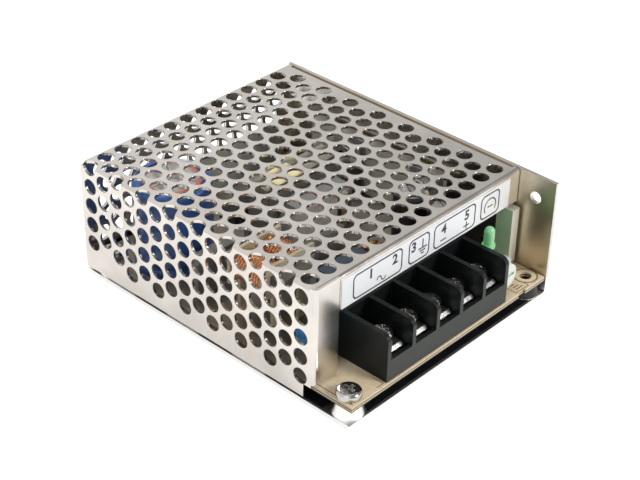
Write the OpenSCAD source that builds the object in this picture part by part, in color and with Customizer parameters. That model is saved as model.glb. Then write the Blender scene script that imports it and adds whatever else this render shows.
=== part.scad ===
// Enclosed single-output switching power supply: a folded chassis, a perforated
// folded cover and a circuit board whose barrier terminal block stands on the
// open front ledge. Millimetres, +Z up, origin at the centre of the underside.
// The terminal end faces -Y and the perforated side faces -X.

/* [Case] */
// Overall width
case_w = 82; // [78:1:110]
// Overall length
case_l = 99; // [96:1:140]
// Overall height
case_h = 36; // [35:0.5:48]
// Chassis sheet thickness
base_t = 1.2; // [0.8:0.1:1.5]
// Outer radius of the chassis fold
base_bend_r = 2; // [1.6:0.2:3]
// Diameter of the hole in the open part of the side wall
wall_hole_d = 3.5; // [2.5:0.1:4.5]
// Distance of that hole from the front edge
wall_hole_y = 6.2; // [4:0.2:8]
// Distance of that hole from the top edge
wall_hole_drop = 6.8; // [4:0.2:12]
// Distance between the mounting threads across the case
mount_dx = 58; // [50:1:62]
// Distance between the mounting threads along the case
mount_dy = 62; // [50:1:70]
// Core diameter of the mounting threads
mount_d = 2.5; // [2:0.1:3.3]
// Height of the drawn collar of a mounting thread above the sheet
mount_collar_h = 1.6; // [0.8:0.2:2]
// Wall of that collar
mount_collar_t = 0.8; // [0.6:0.1:1.2]
// Height of the locating tabs lanced out of the base
tab_h = 2.6; // [1.6:0.2:2.8]
// Length of a locating tab
tab_l = 12; // [8:1:16]
// Distance of the first side tab from the front edge
tab_front = 30; // [20:1:34]
// Distance between neighbouring side tabs
tab_step = 25; // [18:1:26]
// Distance between the two rear tabs
rear_tab_step = 41; // [30:1:50]

/* [Cover] */
// Cover sheet thickness
cover_t = 0.8; // [0.6:0.1:1]
// Outer radius of the cover folds
cover_bend_r = 1.2; // [1.1:0.1:1.6]
// Length of the open front ledge
ledge_l = 12; // [11:0.5:16]
// Height of the cover's lower edge above the underside
cover_lift = 2; // [1.8:0.1:2.6]
// Height of the lip folded down over the terminals
lip_h = 10.2; // [8:0.2:11]
// Width of the plain strip folded in from the perforated side
strip_w = 8.6; // [6:0.2:11]
// Room between the strip's lower edge and the board
strip_room = 0.6; // [0.3:0.1:2]
// Height of the flange folded down inside the chassis wall
flange_h = 9.6; // [8:0.2:10]
// Open seam where two folds meet
seam = 0.2; // [0.1:0.05:0.4]
// Clearance between cover and chassis
cover_gap = 0.2; // [0.1:0.05:0.4]
// Length of the notch in the lower front corner of the perforated side
notch_l = 3.6; // [2:0.2:6]
// Height of that notch above the cover's lower edge
notch_h = 4; // [2:0.2:4.6]
// Distance of the first cover screw from the cover's front
cover_screw_front = 22; // [14:1:30]
// Distance between the two cover screws
cover_screw_step = 48; // [30:1:54]
// Distance of the cover screws from the top
cover_screw_drop = 5; // [4.4:0.1:6]

/* [Perforation] */
// Distance between neighbouring holes
perf_pitch = 6.05; // [5.8:0.05:8]
// Hole diameter
perf_d = 4.8; // [3:0.1:4.9]
// Distance from the folded side to the last full hole of the top
perf_edge = 3.1; // [2.8:0.1:4]
// Distance from the cover's front to the first row
perf_front = 4.8; // [4:0.1:6]
// Least distance from a hole's centre to the other edges of the top
perf_margin = 3; // [2.8:0.1:6]
// Least distance from a hole's centre to the cover's lower edge
perf_bottom = 5; // [4:0.1:8]
// Distance from the top to the first row of the rear
perf_rear_drop = 4.6; // [4:0.1:6]
// Length of flat sheet that the fold uses up
perf_bend = 0.9; // [0.6:0.1:1.4]

/* [Circuit board] */
// Height of the embossed bosses that carry the board
boss_h = 3.5; // [3:0.1:4.5]
// Diameter of a boss at its top
boss_top_d = 6.4; // [5.4:0.1:7]
// Diameter of a boss at its foot
boss_foot_d = 8.4; // [7.4:0.1:8.6]
// Core diameter of the thread in a boss
boss_thread_d = 2.5; // [2:0.1:2.6]
// Thickness of the insulating film on the base
film_t = 0.25; // [0.15:0.05:0.5]
// Room round the film and round what passes through it
film_gap = 0.6; // [0.3:0.1:1.5]
// Board thickness
board_t = 1.6; // [1:0.1:2]
// Room between the board and the walls
board_gap = 0.3; // [0.2:0.1:0.8]
// Distance of the board's holes from its side edges
board_hole_in = 3.4; // [3.2:0.1:5]
// Distance of the front holes from the board's front edge
board_hole_front = 4; // [3.4:0.1:4.4]
// Diameter of the board's holes
board_hole_d = 3.4; // [3.2:0.1:3.8]
// Width of the notch in the board's front edge
board_notch_w = 3; // [1:0.2:5]
// Depth of that notch
board_notch_d = 0.6; // [0.3:0.1:1.2]
// Distance of that notch from the board's right edge
board_notch_x = 8.6; // [7:0.2:12]

/* [Small screws] */
// Shank diameter of the board and device screws
screw_d = 2.4; // [2:0.1:2.45]
// Head diameter of the board screws
board_head_d = 6.8; // [6:0.1:6.8]
// Head diameter of the device screws
screw_head_d = 5.6; // [5:0.1:6]
// Head height of both
screw_head_h = 2.1; // [1.6:0.1:2.4]
// Length of the board screws under the head
screw_l = 4.6; // [4:0.1:5]
// Head diameter of the countersunk wall screws
flush_head_d = 5; // [4:0.1:5.4]
// Countersunk depth of those screws
flush_head_h = 1.1; // [0.6:0.1:1.1]
// Clearance round a countersunk head and every shank
screw_gap = 0.05; // [0.02:0.01:0.1]
// Length of a countersunk screw beyond the cover's flange
flush_end = 1; // [0.5:0.1:1.5]
// Rounding of the pan heads
crown_r = 1; // [0.6:0.1:1.2]
// Span of the cross recess
recess_l = 3.4; // [2.8:0.1:3.6]
// Width of a slot of the cross recess
recess_w = 1; // [0.6:0.1:1.2]
// Depth of the cross recess in a pan head
recess_d = 1.3; // [0.8:0.1:1.4]
// Depth of the cross recess in a countersunk head
flush_recess_d = 0.6; // [0.4:0.1:0.7]

/* [Terminal block] */
// Distance between neighbouring terminals
terminal_pitch = 9.5; // [8.6:0.1:9.6]
// Thickness of the barriers
barrier_t = 1.3; // [1:0.1:1.6]
// Distance of the block's middle from the case's middle, towards the perforated side
block_shift = 2; // [1:0.1:3]
// Distance of the block from the front edge
block_y = 0.7; // [0.3:0.1:1.5]
// Depth of the block, front to back
block_l = 17; // [16:0.5:18]
// Height of the barriers above the board
barrier_h = 14.2; // [14:0.1:16]
// Radius of the barriers' front upper corner
barrier_r = 2.2; // [1:0.1:4]
// Height of the front wall above the board
front_h = 6.4; // [6:0.1:7]
// Thickness of the front wall
front_t = 1.2; // [0.8:0.1:1.6]
// Height of the bay floor above the board
floor_h = 4.9; // [4.6:0.1:5.2]
// Thickness of the rear wall
block_rear_t = 1.6; // [1.2:0.1:2]
// Distance of the screws from the block's front
terminal_screw_y = 6.8; // [6.6:0.1:7.4]

/* [Terminal hardware] */
// Thickness of the contact plates
contact_t = 0.8; // [0.6:0.1:1]
// Distance of the contact plates from the front wall
contact_in = 1.7; // [0.5:0.1:2]
// Depth of the drawn thread under a contact plate
contact_thread_h = 2.4; // [1.5:0.1:2.8]
// Wall of that drawn thread
contact_thread_t = 0.8; // [0.6:0.1:1]
// Width of the contact's tail
tail_w = 1.4; // [1:0.1:2]
// Length of the tail below the board
tail_below = 1.4; // [0.8:0.1:1.8]
// Room round contacts and clamps in their bay
bay_gap = 0.5; // [0.3:0.1:0.8]
// Thickness of the clamp plates
clamp_t = 1.2; // [1:0.1:1.4]
// Length of the clamp plates, front to back
clamp_l = 8.8; // [7:0.1:9]
// Chamfer of the clamp plates' front upper edge
clamp_chamfer = 0.8; // [0.3:0.1:0.9]
// Depth of the grip grooves under the clamp plates
groove_d = 0.3; // [0.1:0.05:0.4]
// Width of a grip groove
groove_w = 0.6; // [0.3:0.1:1]
// Distance between the grip grooves
groove_step = 4.8; // [4.4:0.1:5.4]
// Shank diameter of the terminal screws
terminal_d = 3.2; // [2.8:0.1:3.4]
// Clearance round that shank
terminal_gap = 0.15; // [0.1:0.05:0.3]
// Head diameter of the terminal screws
terminal_head_d = 6.2; // [5.6:0.1:6.4]
// Head height of the terminal screws
terminal_head_h = 2.6; // [2.2:0.1:2.8]
// Length of the terminal screws under the head
terminal_l = 6.2; // [6:0.1:6.4]
// Diameter of the spring washers
washer_d = 6; // [5.4:0.1:6.4]
// Turn of each terminal screw against the one before it
screw_turn = 31; // [0:1:90]
// Thickness of the spring washers
washer_t = 1; // [0.6:0.1:1.2]
// Angle of the split in a spring washer
washer_split = 10; // [4:1:20]

/* [Label] */
// Thickness of the label on the lip
label_t = 0.15; // [0.1:0.05:0.3]
// Distance of the label from the lip's left end
label_in = 0.5; // [0.3:0.1:2]
// Plain end of the lip right of the label
label_end = 4.2; // [3:0.2:8]
// Distance of the label from the lip's lower edge
label_up = 0.25; // [0.1:0.05:0.5]
// Height of the label
label_h = 8.6; // [7:0.1:8.7]

/* [Trimmer and indicator] */
// Distance of the trimmer's axis from the block's right end
trimmer_x = 3.9; // [3.9:0.1:5]
// Distance of the rotor's face from the front edge
trimmer_y = 3.4; // [2:0.1:4]
// Height of the trimmer's axis above the board
trimmer_z = 5; // [4.6:0.1:6]
// Diameter of the rotor
rotor_d = 7.4; // [6.6:0.1:7.4]
// Thickness of the rotor
rotor_t = 1.8; // [1.4:0.1:2.2]
// Width of the screwdriver slot
rotor_slot_w = 1; // [0.6:0.1:1.4]
// Depth of that slot
rotor_slot_d = 1; // [0.5:0.1:1.2]
// Diameter of the rotor's hub
hub_d = 3; // [2.4:0.1:4]
// Running clearance of the hub
hub_gap = 0.1; // [0.05:0.01:0.1]
// Width of the trimmer's base plate
trimmer_w = 7.4; // [7:0.1:7.4]
// Height of the base plate's top above the rotor's axis
trimmer_rise = 4.4; // [3.7:0.1:4.6]
// Thickness of that plate
trimmer_t = 1.5; // [1.2:0.1:2]
// Chamfer at that plate's upper corners
trimmer_chamfer = 1.4; // [0.6:0.1:2]
// Length of the screwdriver slot
rotor_slot_l = 5.4; // [4:0.1:6]
// Distance of the indicator from the block's right end
led_x = 2.8; // [2.6:0.1:4]
// Distance of the indicator from the front edge
led_y = 9.9; // [9.6:0.1:9.9]
// Height of the indicator's flange above the board
led_z = 12.2; // [8:0.2:12.4]
// Diameter of the indicator's lens
led_d = 3; // [2.8:0.1:3.2]
// Length of the lens
led_h = 6.4; // [5:0.1:6.6]
// Height of the flange round the lens
led_flange_h = 1; // [0.6:0.1:1.4]
// Overhang of that flange
led_flange = 0.4; // [0.2:0.05:0.5]
// Thickness of a lead
led_lead = 0.6; // [0.4:0.05:0.8]
// Distance between the leads
led_lead_pitch = 1.8; // [1.4:0.1:2]

/* [Heat path] */
// Thickness of the heat-spreading bar
bar_t = 3; // [2.4:0.1:3.2]
// Length of the bar in front of the cover's lip
bar_out = 1.7; // [0.6:0.1:2.4]
// Room between the bar and the cover's flange
bar_room = 1.7; // [0.6:0.1:2.4]
// Room between the bar's rear end and the rear board screw
bar_end_room = 4.1; // [1:0.1:8]
// Height of the bar above the board
bar_up = 1; // [0.6:0.1:2]
// Thickness of the thermal pad behind the bar
pad_t = 1; // [0.9:0.1:1.4]
// Distance of the pad from the bar's ends
pad_in = 3; // [1:0.5:6]
// Distance of the pad from the bar's upper and lower edges
pad_up = 1; // [0.5:0.1:2]
// Thickness of the insulators under the power devices
insulator_t = 0.3; // [0.2:0.05:0.5]
// Distance of the bar's wall screws from its ends
bar_screw_in = 8.6; // [6:0.2:12]
// Height of those screws above the bar's lower edge
bar_screw_up = 4; // [3:0.2:6]
// Distance of the switching transistor from the bar's rear end
transistor_in = 15.3; // [14.8:0.1:18]
// Distance of the output diode from the bar's front end
diode_in = 30.4; // [26:0.1:34]
// Width of a power device
device_w = 10; // [8:0.2:11]
// Height of its metal tab's lower edge above the bar's lower edge
device_up = 0.6; // [0.2:0.1:1.4]
// Height of the tab that stands bare above the moulded body
device_bare_h = 6.4; // [6:0.1:7]
// Thickness of its moulded body
device_body_t = 4.4; // [3.6:0.1:4.8]
// Thickness of its metal tab
device_tab_t = 1.3; // [1:0.1:1.6]
// Thickness of its leads
device_leg = 0.8; // [0.6:0.1:1]
// Distance between its leads
device_leg_pitch = 2.54; // [2:0.01:3]
// Distance of its screw from the tab's upper edge
device_hole_drop = 3; // [2.8:0.1:3.4]
// Distance of the tab's upper edge from the bar's upper edge
device_drop = 1.4; // [1:0.1:1.6]
// Border of the insulator round the tab
insulator_border = 1; // [0.5:0.1:1.2]
// How far a device screw reaches into the bar
device_screw_in = 1.9; // [1:0.1:2.2]

/* [Mains parts] */
// Diameter of the bulk capacitor
bulk_d = 22; // [18:0.5:22]
// Room between the bulk capacitor and the cover's top
bulk_room = 2.3; // [2:0.1:8]
// Room between the bulk capacitor and the perforated side
bulk_in = 3.2; // [2:0.2:3.4]
// Distance of its axis from the rear board screws
bulk_rear = 13.5; // [13:0.1:15]
// Shoulder radius of a can, as a share of its diameter
can_shoulder = 0.07; // [0.05:0.01:0.09]
// Width of the sleeve's rim on a can, as a share of its diameter
can_rim = 0.11; // [0.1:0.01:0.16]
// Height of the crimp in a can, as a share of its diameter
can_crimp = 0.14; // [0.12:0.01:0.2]
// Depth of a can's bare top under the rim
can_dish = 0.3; // [0.1:0.05:0.5]
// Diameter of the varistor disc
varistor_d = 7.4; // [7:0.1:8]
// Height of the varistor above the board
varistor_up = 3.4; // [2:0.1:4]
// Thickness of the varistor disc
varistor_t = 3.2; // [2.4:0.1:3.4]
// Distance of the varistor from the perforated side
varistor_x = 6.4; // [5.4:0.2:7]
// Distance of the varistor from the block's rear
varistor_y = 4; // [3.8:0.1:5]
// Height of the thermistor above the board
thermistor_up = 1.6; // [1:0.1:2.4]
// Thickness of a disc's leads
disc_lead = 0.6; // [0.5:0.1:0.8]
// Distance between a disc's leads
disc_lead_pitch = 5; // [4:0.1:6]
// Length of the suppression capacitor
film_cap_l = 15; // [12:0.5:17]
// Width of the suppression capacitor
film_cap_w = 7.6; // [5:0.2:8]
// Height of the suppression capacitor
film_cap_h = 17; // [10:0.5:22]
// Place of the suppression capacitor across the case, from its middle
film_cap_x = -20; // [-20.4:0.1:-19]
// Distance of the suppression capacitor from the block's rear
film_cap_y = 9.6; // [9.2:0.1:9.8]
// Height of its moulded feet
film_cap_foot_h = 0.5; // [0.3:0.1:1]
// Length of a moulded foot
film_cap_foot_l = 2; // [1:0.1:3]
// Diameter of the fuse
fuse_d = 4; // [3:0.2:4.6]
// Length of the fuse
fuse_l = 15; // [11:0.5:16]
// Overhang of the fuse's end caps
fuse_cap = 0.2; // [0.1:0.05:0.4]
// Length of an end cap
fuse_cap_l = 3; // [2:0.1:4]
// Thickness of the fuse's leads
fuse_lead = 0.8; // [0.6:0.1:1]
// Reach of a lead beyond the end cap
fuse_lead_l = 2; // [1:0.1:3]
// Place of the fuse across the case, from its middle
fuse_x = -8; // [-10:0.5:-7]
// Distance of the fuse from the block's rear
fuse_y = 2.8; // [2.6:0.1:3.2]
// Width of the bridge rectifier
bridge_w = 15; // [12:0.2:16]
// Thickness of the bridge rectifier
bridge_t = 3.6; // [3:0.1:4]
// Height of the bridge rectifier's body
bridge_h = 11; // [9:0.2:14]
// Height of that body above the board
bridge_up = 3; // [2:0.1:4]
// Chamfer at that body's marked corner
bridge_chamfer = 1.4; // [1:0.1:2.4]
// Distance between the bridge's leads
bridge_lead_pitch = 3.8; // [3:0.1:4]
// Width of a bridge lead
bridge_lead_w = 1; // [0.8:0.1:1.2]
// Distance of the bridge rectifier from the bulk capacitor's axis
bridge_y = 19; // [17:0.2:20]
// Distance of the bridge rectifier from the perforated side
bridge_x = 12; // [10.5:0.5:13]
// Diameter of the thermistor disc
thermistor_d = 9; // [8.5:0.5:9.5]
// Thickness of the thermistor disc
thermistor_t = 3.4; // [2.5:0.1:4]
// Place of the thermistor across the case, from its middle
thermistor_x = -16.6; // [-17.6:0.2:-16.4]
// Distance of the thermistor from the block's rear
thermistor_y = 35.8; // [35.4:0.1:36]

/* [Line choke] */
// Distance of the choke's centre from the perforated side
choke_x = 15; // [14.6:0.2:15]
// Distance of the choke's centre from the block's rear
choke_y = 24; // [23:0.5:25]
// Distance between the two coils
choke_pitch = 9.6; // [9.5:0.1:10]
// Outer diameter of a coil
coil_d = 8.8; // [8:0.1:9]
// Length of a coil between its flanges
coil_l = 11; // [9:0.2:11.6]
// Wire diameter of a coil
coil_wire = 0.86; // [0.5:0.02:0.9]
// Turns of a coil
coil_turns = 11; // [6:1:16]
// Height of the coils' axis above the board
coil_z = 16.6; // [12:0.2:17]
// Thickness of the bobbins' flanges
choke_flange_t = 1; // [0.6:0.1:1.4]
// Overhang of the flanges over the coils
choke_flange_over = 0.3; // [0.1:0.1:0.3]
// Wall of the bobbins' tubes
choke_tube_t = 0.5; // [0.4:0.1:0.6]
// Width of the bobbins' feet
choke_foot_w = 2; // [1.4:0.1:4]
// Side of the square core
choke_core = 3.6; // [3:0.2:3.8]

/* [Transformer] */
// Place of the transformer's centre across the case, from its middle
trafo_x = 1; // [0.8:0.1:1.6]
// Distance of the transformer's centre from the block's rear
trafo_y = 41.3; // [40:0.1:43]
// Width of the core
core_w = 28; // [26:0.5:28]
// Depth of the core
core_d = 8; // [7:0.2:9]
// Room between the core and the cover's top
core_room = 2.5; // [2.2:0.1:6]
// Width of the core's outer legs
core_leg = 4; // [3.6:0.1:4.2]
// Width of the core's middle leg
core_mid = 8; // [7:0.1:8.4]
// Depth of the taped winding, front to back
winding_d = 18; // [16:0.5:19]
// Corner radius of the taped winding
winding_r = 3; // [1:0.2:4]
// Thickness of the bobbin's flanges
bobbin_flange_t = 1.2; // [0.8:0.1:1.6]
// Overhang of the bobbin's flanges over the winding
bobbin_over = 1; // [0.4:0.1:1.4]
// Wall of the bobbin's tube
bobbin_tube_t = 1; // [0.6:0.1:1.2]
// Height of the core above the board
core_up = 2.4; // [2:0.1:2.6]
// Depth of the bobbin's two pin rails
pin_rail = 4; // [3:0.1:4.6]
// Room between core and bobbin
core_gap = 0.2; // [0.1:0.05:0.3]
// Thickness of the tape belt round the core
belt_t = 0.3; // [0.2:0.05:0.5]
// Width of that belt
belt_w = 7; // [4:0.2:7]

/* [Output parts] */
// Diameter of the output capacitors
out_cap_d = 10; // [8:0.5:10.5]
// Height of the output capacitors
out_cap_h = 20; // [12:0.5:22]
// Distance between the output capacitors
out_cap_step = 12; // [11:0.5:13]
// Distance of the output capacitors from the heat bar
out_cap_in = 13.4; // [13:0.1:15]
// Distance of the first output capacitor from the block's rear
out_cap_y = 5.5; // [5.4:0.1:6]
// Outer diameter of the output choke
ring_d = 15; // [12:0.5:15.5]
// Height of the output choke
ring_h = 8; // [6:0.2:9]
// Diameter of the hole through the output choke
ring_hole_d = 5; // [4:0.2:6]
// Thickness of the winding on the output choke
ring_wire = 1; // [0.6:0.1:1.4]
// Angle that the winding covers
ring_angle = 290; // [180:5:330]
// Place of the output choke across the case, from its middle
ring_x = 5.5; // [5:0.1:6]
// Distance of the output choke from the block's rear
ring_y = 18; // [16.5:0.5:19]
// Diameter of the small capacitor
small_cap_d = 6.3; // [5:0.1:7]
// Height of the small capacitor
small_cap_h = 11; // [8:0.5:14]
// Place of the small capacitor across the case, from its middle
small_cap_x = 21; // [20:0.2:23]
// Distance of the small capacitor from the block's rear
small_cap_y = 42; // [40:0.5:46]

/* [Chips] */
// Thickness of the chips' bodies
chip_t = 3.4; // [2.6:0.1:4]
// Width of the chips' bodies
chip_w = 6.4; // [5.6:0.1:7]
// Height of the chips' bodies above the board
chip_up = 0.6; // [0.4:0.1:1]
// Thickness of a chip's lead
chip_lead = 0.8; // [0.5:0.1:1]
// Distance between neighbouring leads
chip_lead_pitch = 2.54; // [2:0.01:2.6]
// Leads on each side of the optocoupler
opto_leads = 2; // [2:1:3]
// Place of the optocoupler across the case, from its middle
opto_x = -7; // [-8:0.5:-6]
// Distance of the optocoupler from the block's rear
opto_y = 22; // [20.5:0.5:23]
// Leads on each side of the controller
controller_leads = 4; // [3:1:5]
// Place of the controller across the case, from its middle
controller_x = 2; // [-1:0.5:7]
// Distance of the controller from the block's rear
controller_y = 64; // [61:0.5:68]

/* [Hidden] */
$fn = 48;
// A little more than flush, for cuts that pass right through
over = 1;
// Terminals named in NODES
terminals = 5;
left_x = -case_w / 2;
right_x = case_w / 2;
front_y = -case_l / 2;
rear_y = case_l / 2;
wall_in_x = right_x - base_t;
cover_front_y = front_y + ledge_l;
cover_right_x = wall_in_x - cover_gap;
cover_in_x = left_x + cover_t;
cover_rear_in_y = rear_y - cover_t;
board_z = base_t + boss_h;
board_top = board_z + board_t;
// Where the chassis wall goes on from the fold of the base
wall_seam_z = board_z;
strip_z = board_top + strip_room;
lip_z = case_h - lip_h;
lip_x = left_x + strip_w + seam;
// Where the cover's panels meet: below the folds of the top, and inside the open seams
panel_z = case_h - cover_bend_r - seam;
front_seam_y = cover_front_y + cover_t + seam / 2;
strip_seam_x = lip_x - seam / 2;
rear_seam_x = cover_in_x + seam / 2;
flange_x = cover_right_x - cover_t - seam;
panel_rear_y = rear_y - cover_bend_r;
rear_seam_y = cover_rear_in_y - seam / 2;

shank_hole_d = screw_d + 2 * screw_gap;
collar_d = mount_d + 2 * mount_collar_t;

// Places of the board, its holes and its screws
board_left = cover_in_x + board_gap;
board_right = wall_in_x - board_gap;
board_front = front_y + board_gap;
board_rear = cover_rear_in_y - cover_gap - base_t - board_gap;
hole_left = board_left + board_hole_in;
hole_right = board_right - board_hole_in;
hole_front = board_front + board_hole_front;
hole_rear = board_rear - board_hole_front;
board_holes = [[hole_left, hole_front], [hole_left, hole_rear], [hole_right, hole_rear],
               [hole_right, hole_front]];
mount_holes = [for (x = [-1, 1]) for (y = [-1, 1]) [x * mount_dx / 2, y * mount_dy / 2]];

// Perforation rows, counted from the cover's front
row_step = perf_pitch * sqrt(3) / 2;
cover_l = case_l - ledge_l;
perf_rows = floor((cover_l - perf_front - perf_margin) / row_step) + 1;
perf_cols = floor((cover_right_x - left_x - perf_edge - perf_margin) / perf_pitch) + 1;
side_drop = perf_pitch - perf_edge + perf_bend;
side_room = case_h - cover_lift - perf_bottom;
rear_rows = floor((side_room - perf_rear_drop) / row_step) + 1;

// Terminal block
block_w = terminals * terminal_pitch + barrier_t;
block_left = -block_shift - block_w / 2;
block_right = block_left + block_w;
block_front = front_y + block_y;
block_rear = block_front + block_l;
floor_z = board_top + floor_h;
contact_top = floor_z + contact_t;
screw_y = block_front + terminal_screw_y;
bay_w = terminal_pitch - barrier_t;
plate_w = bay_w - 2 * bay_gap;
washer_z = contact_top + clamp_t;
head_z = washer_z + washer_t;
terminal_bore = terminal_d + 2 * terminal_gap;
thread_d = terminal_bore + 2 * contact_thread_t;
thread_room = head_z - terminal_l < floor_z - contact_thread_h
    ? floor_z - head_z + terminal_l + terminal_gap
    : contact_thread_h + terminal_gap;
contact_front = block_front + front_t + contact_in;
contact_rear = block_rear - block_rear_t - bay_gap;
tail_y = contact_rear - contact_t;

// Heat path along the chassis wall
bar_x = wall_in_x - pad_t - bar_t;
bar_front = cover_front_y - bar_out;
bar_z = board_top + bar_up;
bar_h = case_h - flange_h - bar_room - bar_z;
bar_l = hole_rear - board_head_d / 2 - bar_end_room - bar_front;
device_x = bar_x - insulator_t;
device_h = bar_h - device_drop - device_up;
device_body_h = device_h - device_bare_h;
device_top = bar_z + bar_h - device_drop;
device_screw_z = device_top - device_hole_drop;
device_ys = [bar_front + bar_l - transistor_in, bar_front + diode_in];

// Screws in the side wall, and tabs that locate the cover
cover_screws = [for (k = [0, 1])
    [cover_front_y + cover_screw_front + k * cover_screw_step, case_h - cover_screw_drop]];
bar_screws = [for (d = [bar_screw_in, bar_l - bar_screw_in]) [bar_front + d, bar_z + bar_screw_up]];
tab_x = cover_in_x + cover_gap;
tab_ys = [for (k = [0 : 2]) front_y + tab_front + k * tab_step];
rear_tab_y = cover_rear_in_y - cover_gap - base_t;
rear_tab_xs = [for (s = [-1, 1]) s * rear_tab_step / 2];
film_left = tab_x + base_t + tab_h + film_gap;
film_right = wall_in_x - base_bend_r - film_gap;
film_front = front_y + film_gap;
film_rear = rear_tab_y - tab_h - film_gap;
// Between the front boss and the tabs the film reaches the base's edge
apron_left = left_x + film_gap;
apron_front = hole_front + boss_foot_d / 2 + 2 * film_gap;
apron_rear = tab_ys[0] - film_gap;

// Adjuster, measured to the centre of the rotor's face
trimmer_at = [block_right + trimmer_x, front_y + trimmer_y, board_top + trimmer_z];

// Bulk capacitor, and the bridge rectifier in front of it
bulk_h = case_h - cover_t - bulk_room - board_top;
bulk_at = [cover_in_x + bulk_in + bulk_d / 2, hole_rear - bulk_rear, board_top];
bridge_at = [left_x + bridge_x, bulk_at[1] - bridge_y, board_top];

// Line choke and transformer
core_h = case_h - cover_t - core_room - board_top - core_up;
choke_leg_l = coil_l + 2 * choke_flange_t;
choke_tube_d = (choke_core + 2 * core_gap) * sqrt(2) + 2 * choke_tube_t;
choke_flange_w = coil_d + 2 * choke_flange_over;
core_window = (core_w - core_mid) / 2 - core_leg;
bobbin_tube = [core_mid + 2 * core_gap, core_d + 2 * core_gap];
bobbin_w = core_mid + 2 * core_window - 2 * core_gap;
bobbin_z = core_up + core_leg + core_gap;
bobbin_h = core_h - 2 * core_leg - 2 * core_gap;

function terminal_x(i) = block_left + barrier_t + bay_w / 2 + (i - 1) * terminal_pitch;
function row_shift(j) = j % 2 == 0 ? 0 : perf_pitch / 2;

// A rectangle whose upper left corner is round
module round_corner(w, h, r) {
    square([w, h - r]);
    translate([r, 0]) square([w - r, h]);
    translate([r, h - r]) circle(r);
}

// Section of a sheet folded once: a level leg to the right and a leg hanging down
module fold(level, drop, t, r) {
    translate([0, -drop]) difference() {
        round_corner(level, drop, r);
        translate([t, -over]) round_corner(level, drop + over - t, r - t);
    }
}

// Sweeps a section drawn in X and Z along Y, from y0 to y1
module along_y(y0, y1) {
    translate([0, y1, 0]) rotate([90, 0, 0]) linear_extrude(y1 - y0) children();
}

// Sweeps a section drawn in Y and Z along X, from x0 to x1
module along_x(x0, x1) {
    translate([x0, 0, 0]) rotate([90, 0, 90]) linear_extrude(x1 - x0) children();
}

// A plain bar between two corners
module between(a, b) {
    translate(a) cube(b - a);
}

// A hole along X, from x0 to x1, at [y, z]
module hole_x(place, d, x0, x1) {
    translate([x0, place[0], place[1]]) rotate([0, 90, 0]) cylinder(d = d, h = x1 - x0);
}

// Places a piece on the board, measured from the case's middle and the block's rear
module on_board(x, y) {
    translate([x, block_rear + y, board_top]) children();
}

// Places a piece on the board, measured from the perforated side and the block's rear
module near_side(x, y) {
    on_board(left_x + x, y) children();
}

// A cross recess cut down from z = 0
module cross_recess(depth) {
    for (a = [0, 90]) rotate(a) translate([-recess_l / 2, -recess_w / 2, -depth])
        cube([recess_l, recess_w, depth + over]);
}

// A pan-head screw, head up, standing on z = 0
module pan_screw(d, l, head_d, head_h) {
    difference() {
        rotate_extrude() {
            translate([0, -l]) square([d / 2, l]);
            square([head_d / 2, head_h - crown_r]);
            square([head_d / 2 - crown_r, head_h]);
            translate([head_d / 2 - crown_r, head_h - crown_r]) circle(crown_r);
        }
        translate([0, 0, head_h]) cross_recess(recess_d);
    }
}

// Cone and shank of a countersunk screw, from its face at x = 0 along -X
module flush_shape(gap, l) {
    rotate([0, -90, 0]) {
        cylinder(d1 = flush_head_d + 2 * gap, d2 = screw_d + 2 * gap, h = flush_head_h);
        cylinder(d = screw_d + 2 * gap, h = l);
    }
}

module flush_screw(l) {
    difference() {
        flush_shape(0, l);
        rotate([0, 90, 0]) cross_recess(flush_recess_d);
    }
}

// Hollow boss pressed up from the base, with a thread in its top
module embossed_boss() {
    rotate_extrude() difference() {
        polygon([[0, 0], [boss_foot_d / 2, 0], [boss_top_d / 2, boss_h], [0, boss_h]]);
        translate([0, -base_t])
            polygon([[0, 0], [boss_foot_d / 2 - base_t, 0], [boss_top_d / 2 - base_t, boss_h], [0, boss_h]]);
        square([boss_thread_d / 2, boss_h + over]);
    }
}

// Chassis base: the sheet up to the foot of the folded wall, with drawn threads and lanced tabs
module chassis_base() color([0.78, 0.76, 0.72]) difference() {
    union() {
        along_y(front_y, rear_y) translate([right_x, 0]) rotate(180)
            fold(case_w, wall_seam_z, base_t, base_bend_r);
        for (p = board_holes) translate([p[0], p[1], base_t]) embossed_boss();
        for (p = mount_holes) translate(p) cylinder(d = collar_d, h = base_t + mount_collar_h);
        for (y = tab_ys) translate([tab_x, y, 0]) cube([base_t, tab_l, base_t + tab_h]);
        for (x = rear_tab_xs) translate([x - tab_l / 2, rear_tab_y, 0]) cube([tab_l, base_t, base_t + tab_h]);
    }
    for (p = board_holes) translate([p[0], p[1], -over])
        cylinder(d = boss_foot_d - 2 * base_t, h = base_t + over);
    for (p = mount_holes) translate([p[0], p[1], -over])
        cylinder(d = mount_d, h = base_t + mount_collar_h + 2 * over);
    for (y = tab_ys) translate([tab_x + base_t, y, -over]) cube([tab_h, tab_l, base_t + 2 * over]);
    for (x = rear_tab_xs) translate([x - tab_l / 2, rear_tab_y - tab_h, -over])
        cube([tab_l, tab_h, base_t + 2 * over]);
}

// Chassis wall: the rest of the same sheet, above the fold
module chassis_wall() color([0.78, 0.76, 0.72]) difference() {
    between([wall_in_x, front_y, wall_seam_z], [right_x, rear_y, case_h]);
    hole_x([front_y + wall_hole_y, case_h - wall_hole_drop], wall_hole_d, wall_in_x - over, right_x + over);
    for (p = concat(cover_screws, bar_screws)) translate([right_x, p[0], p[1]])
        flush_shape(screw_gap, base_t + over);
}

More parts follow.
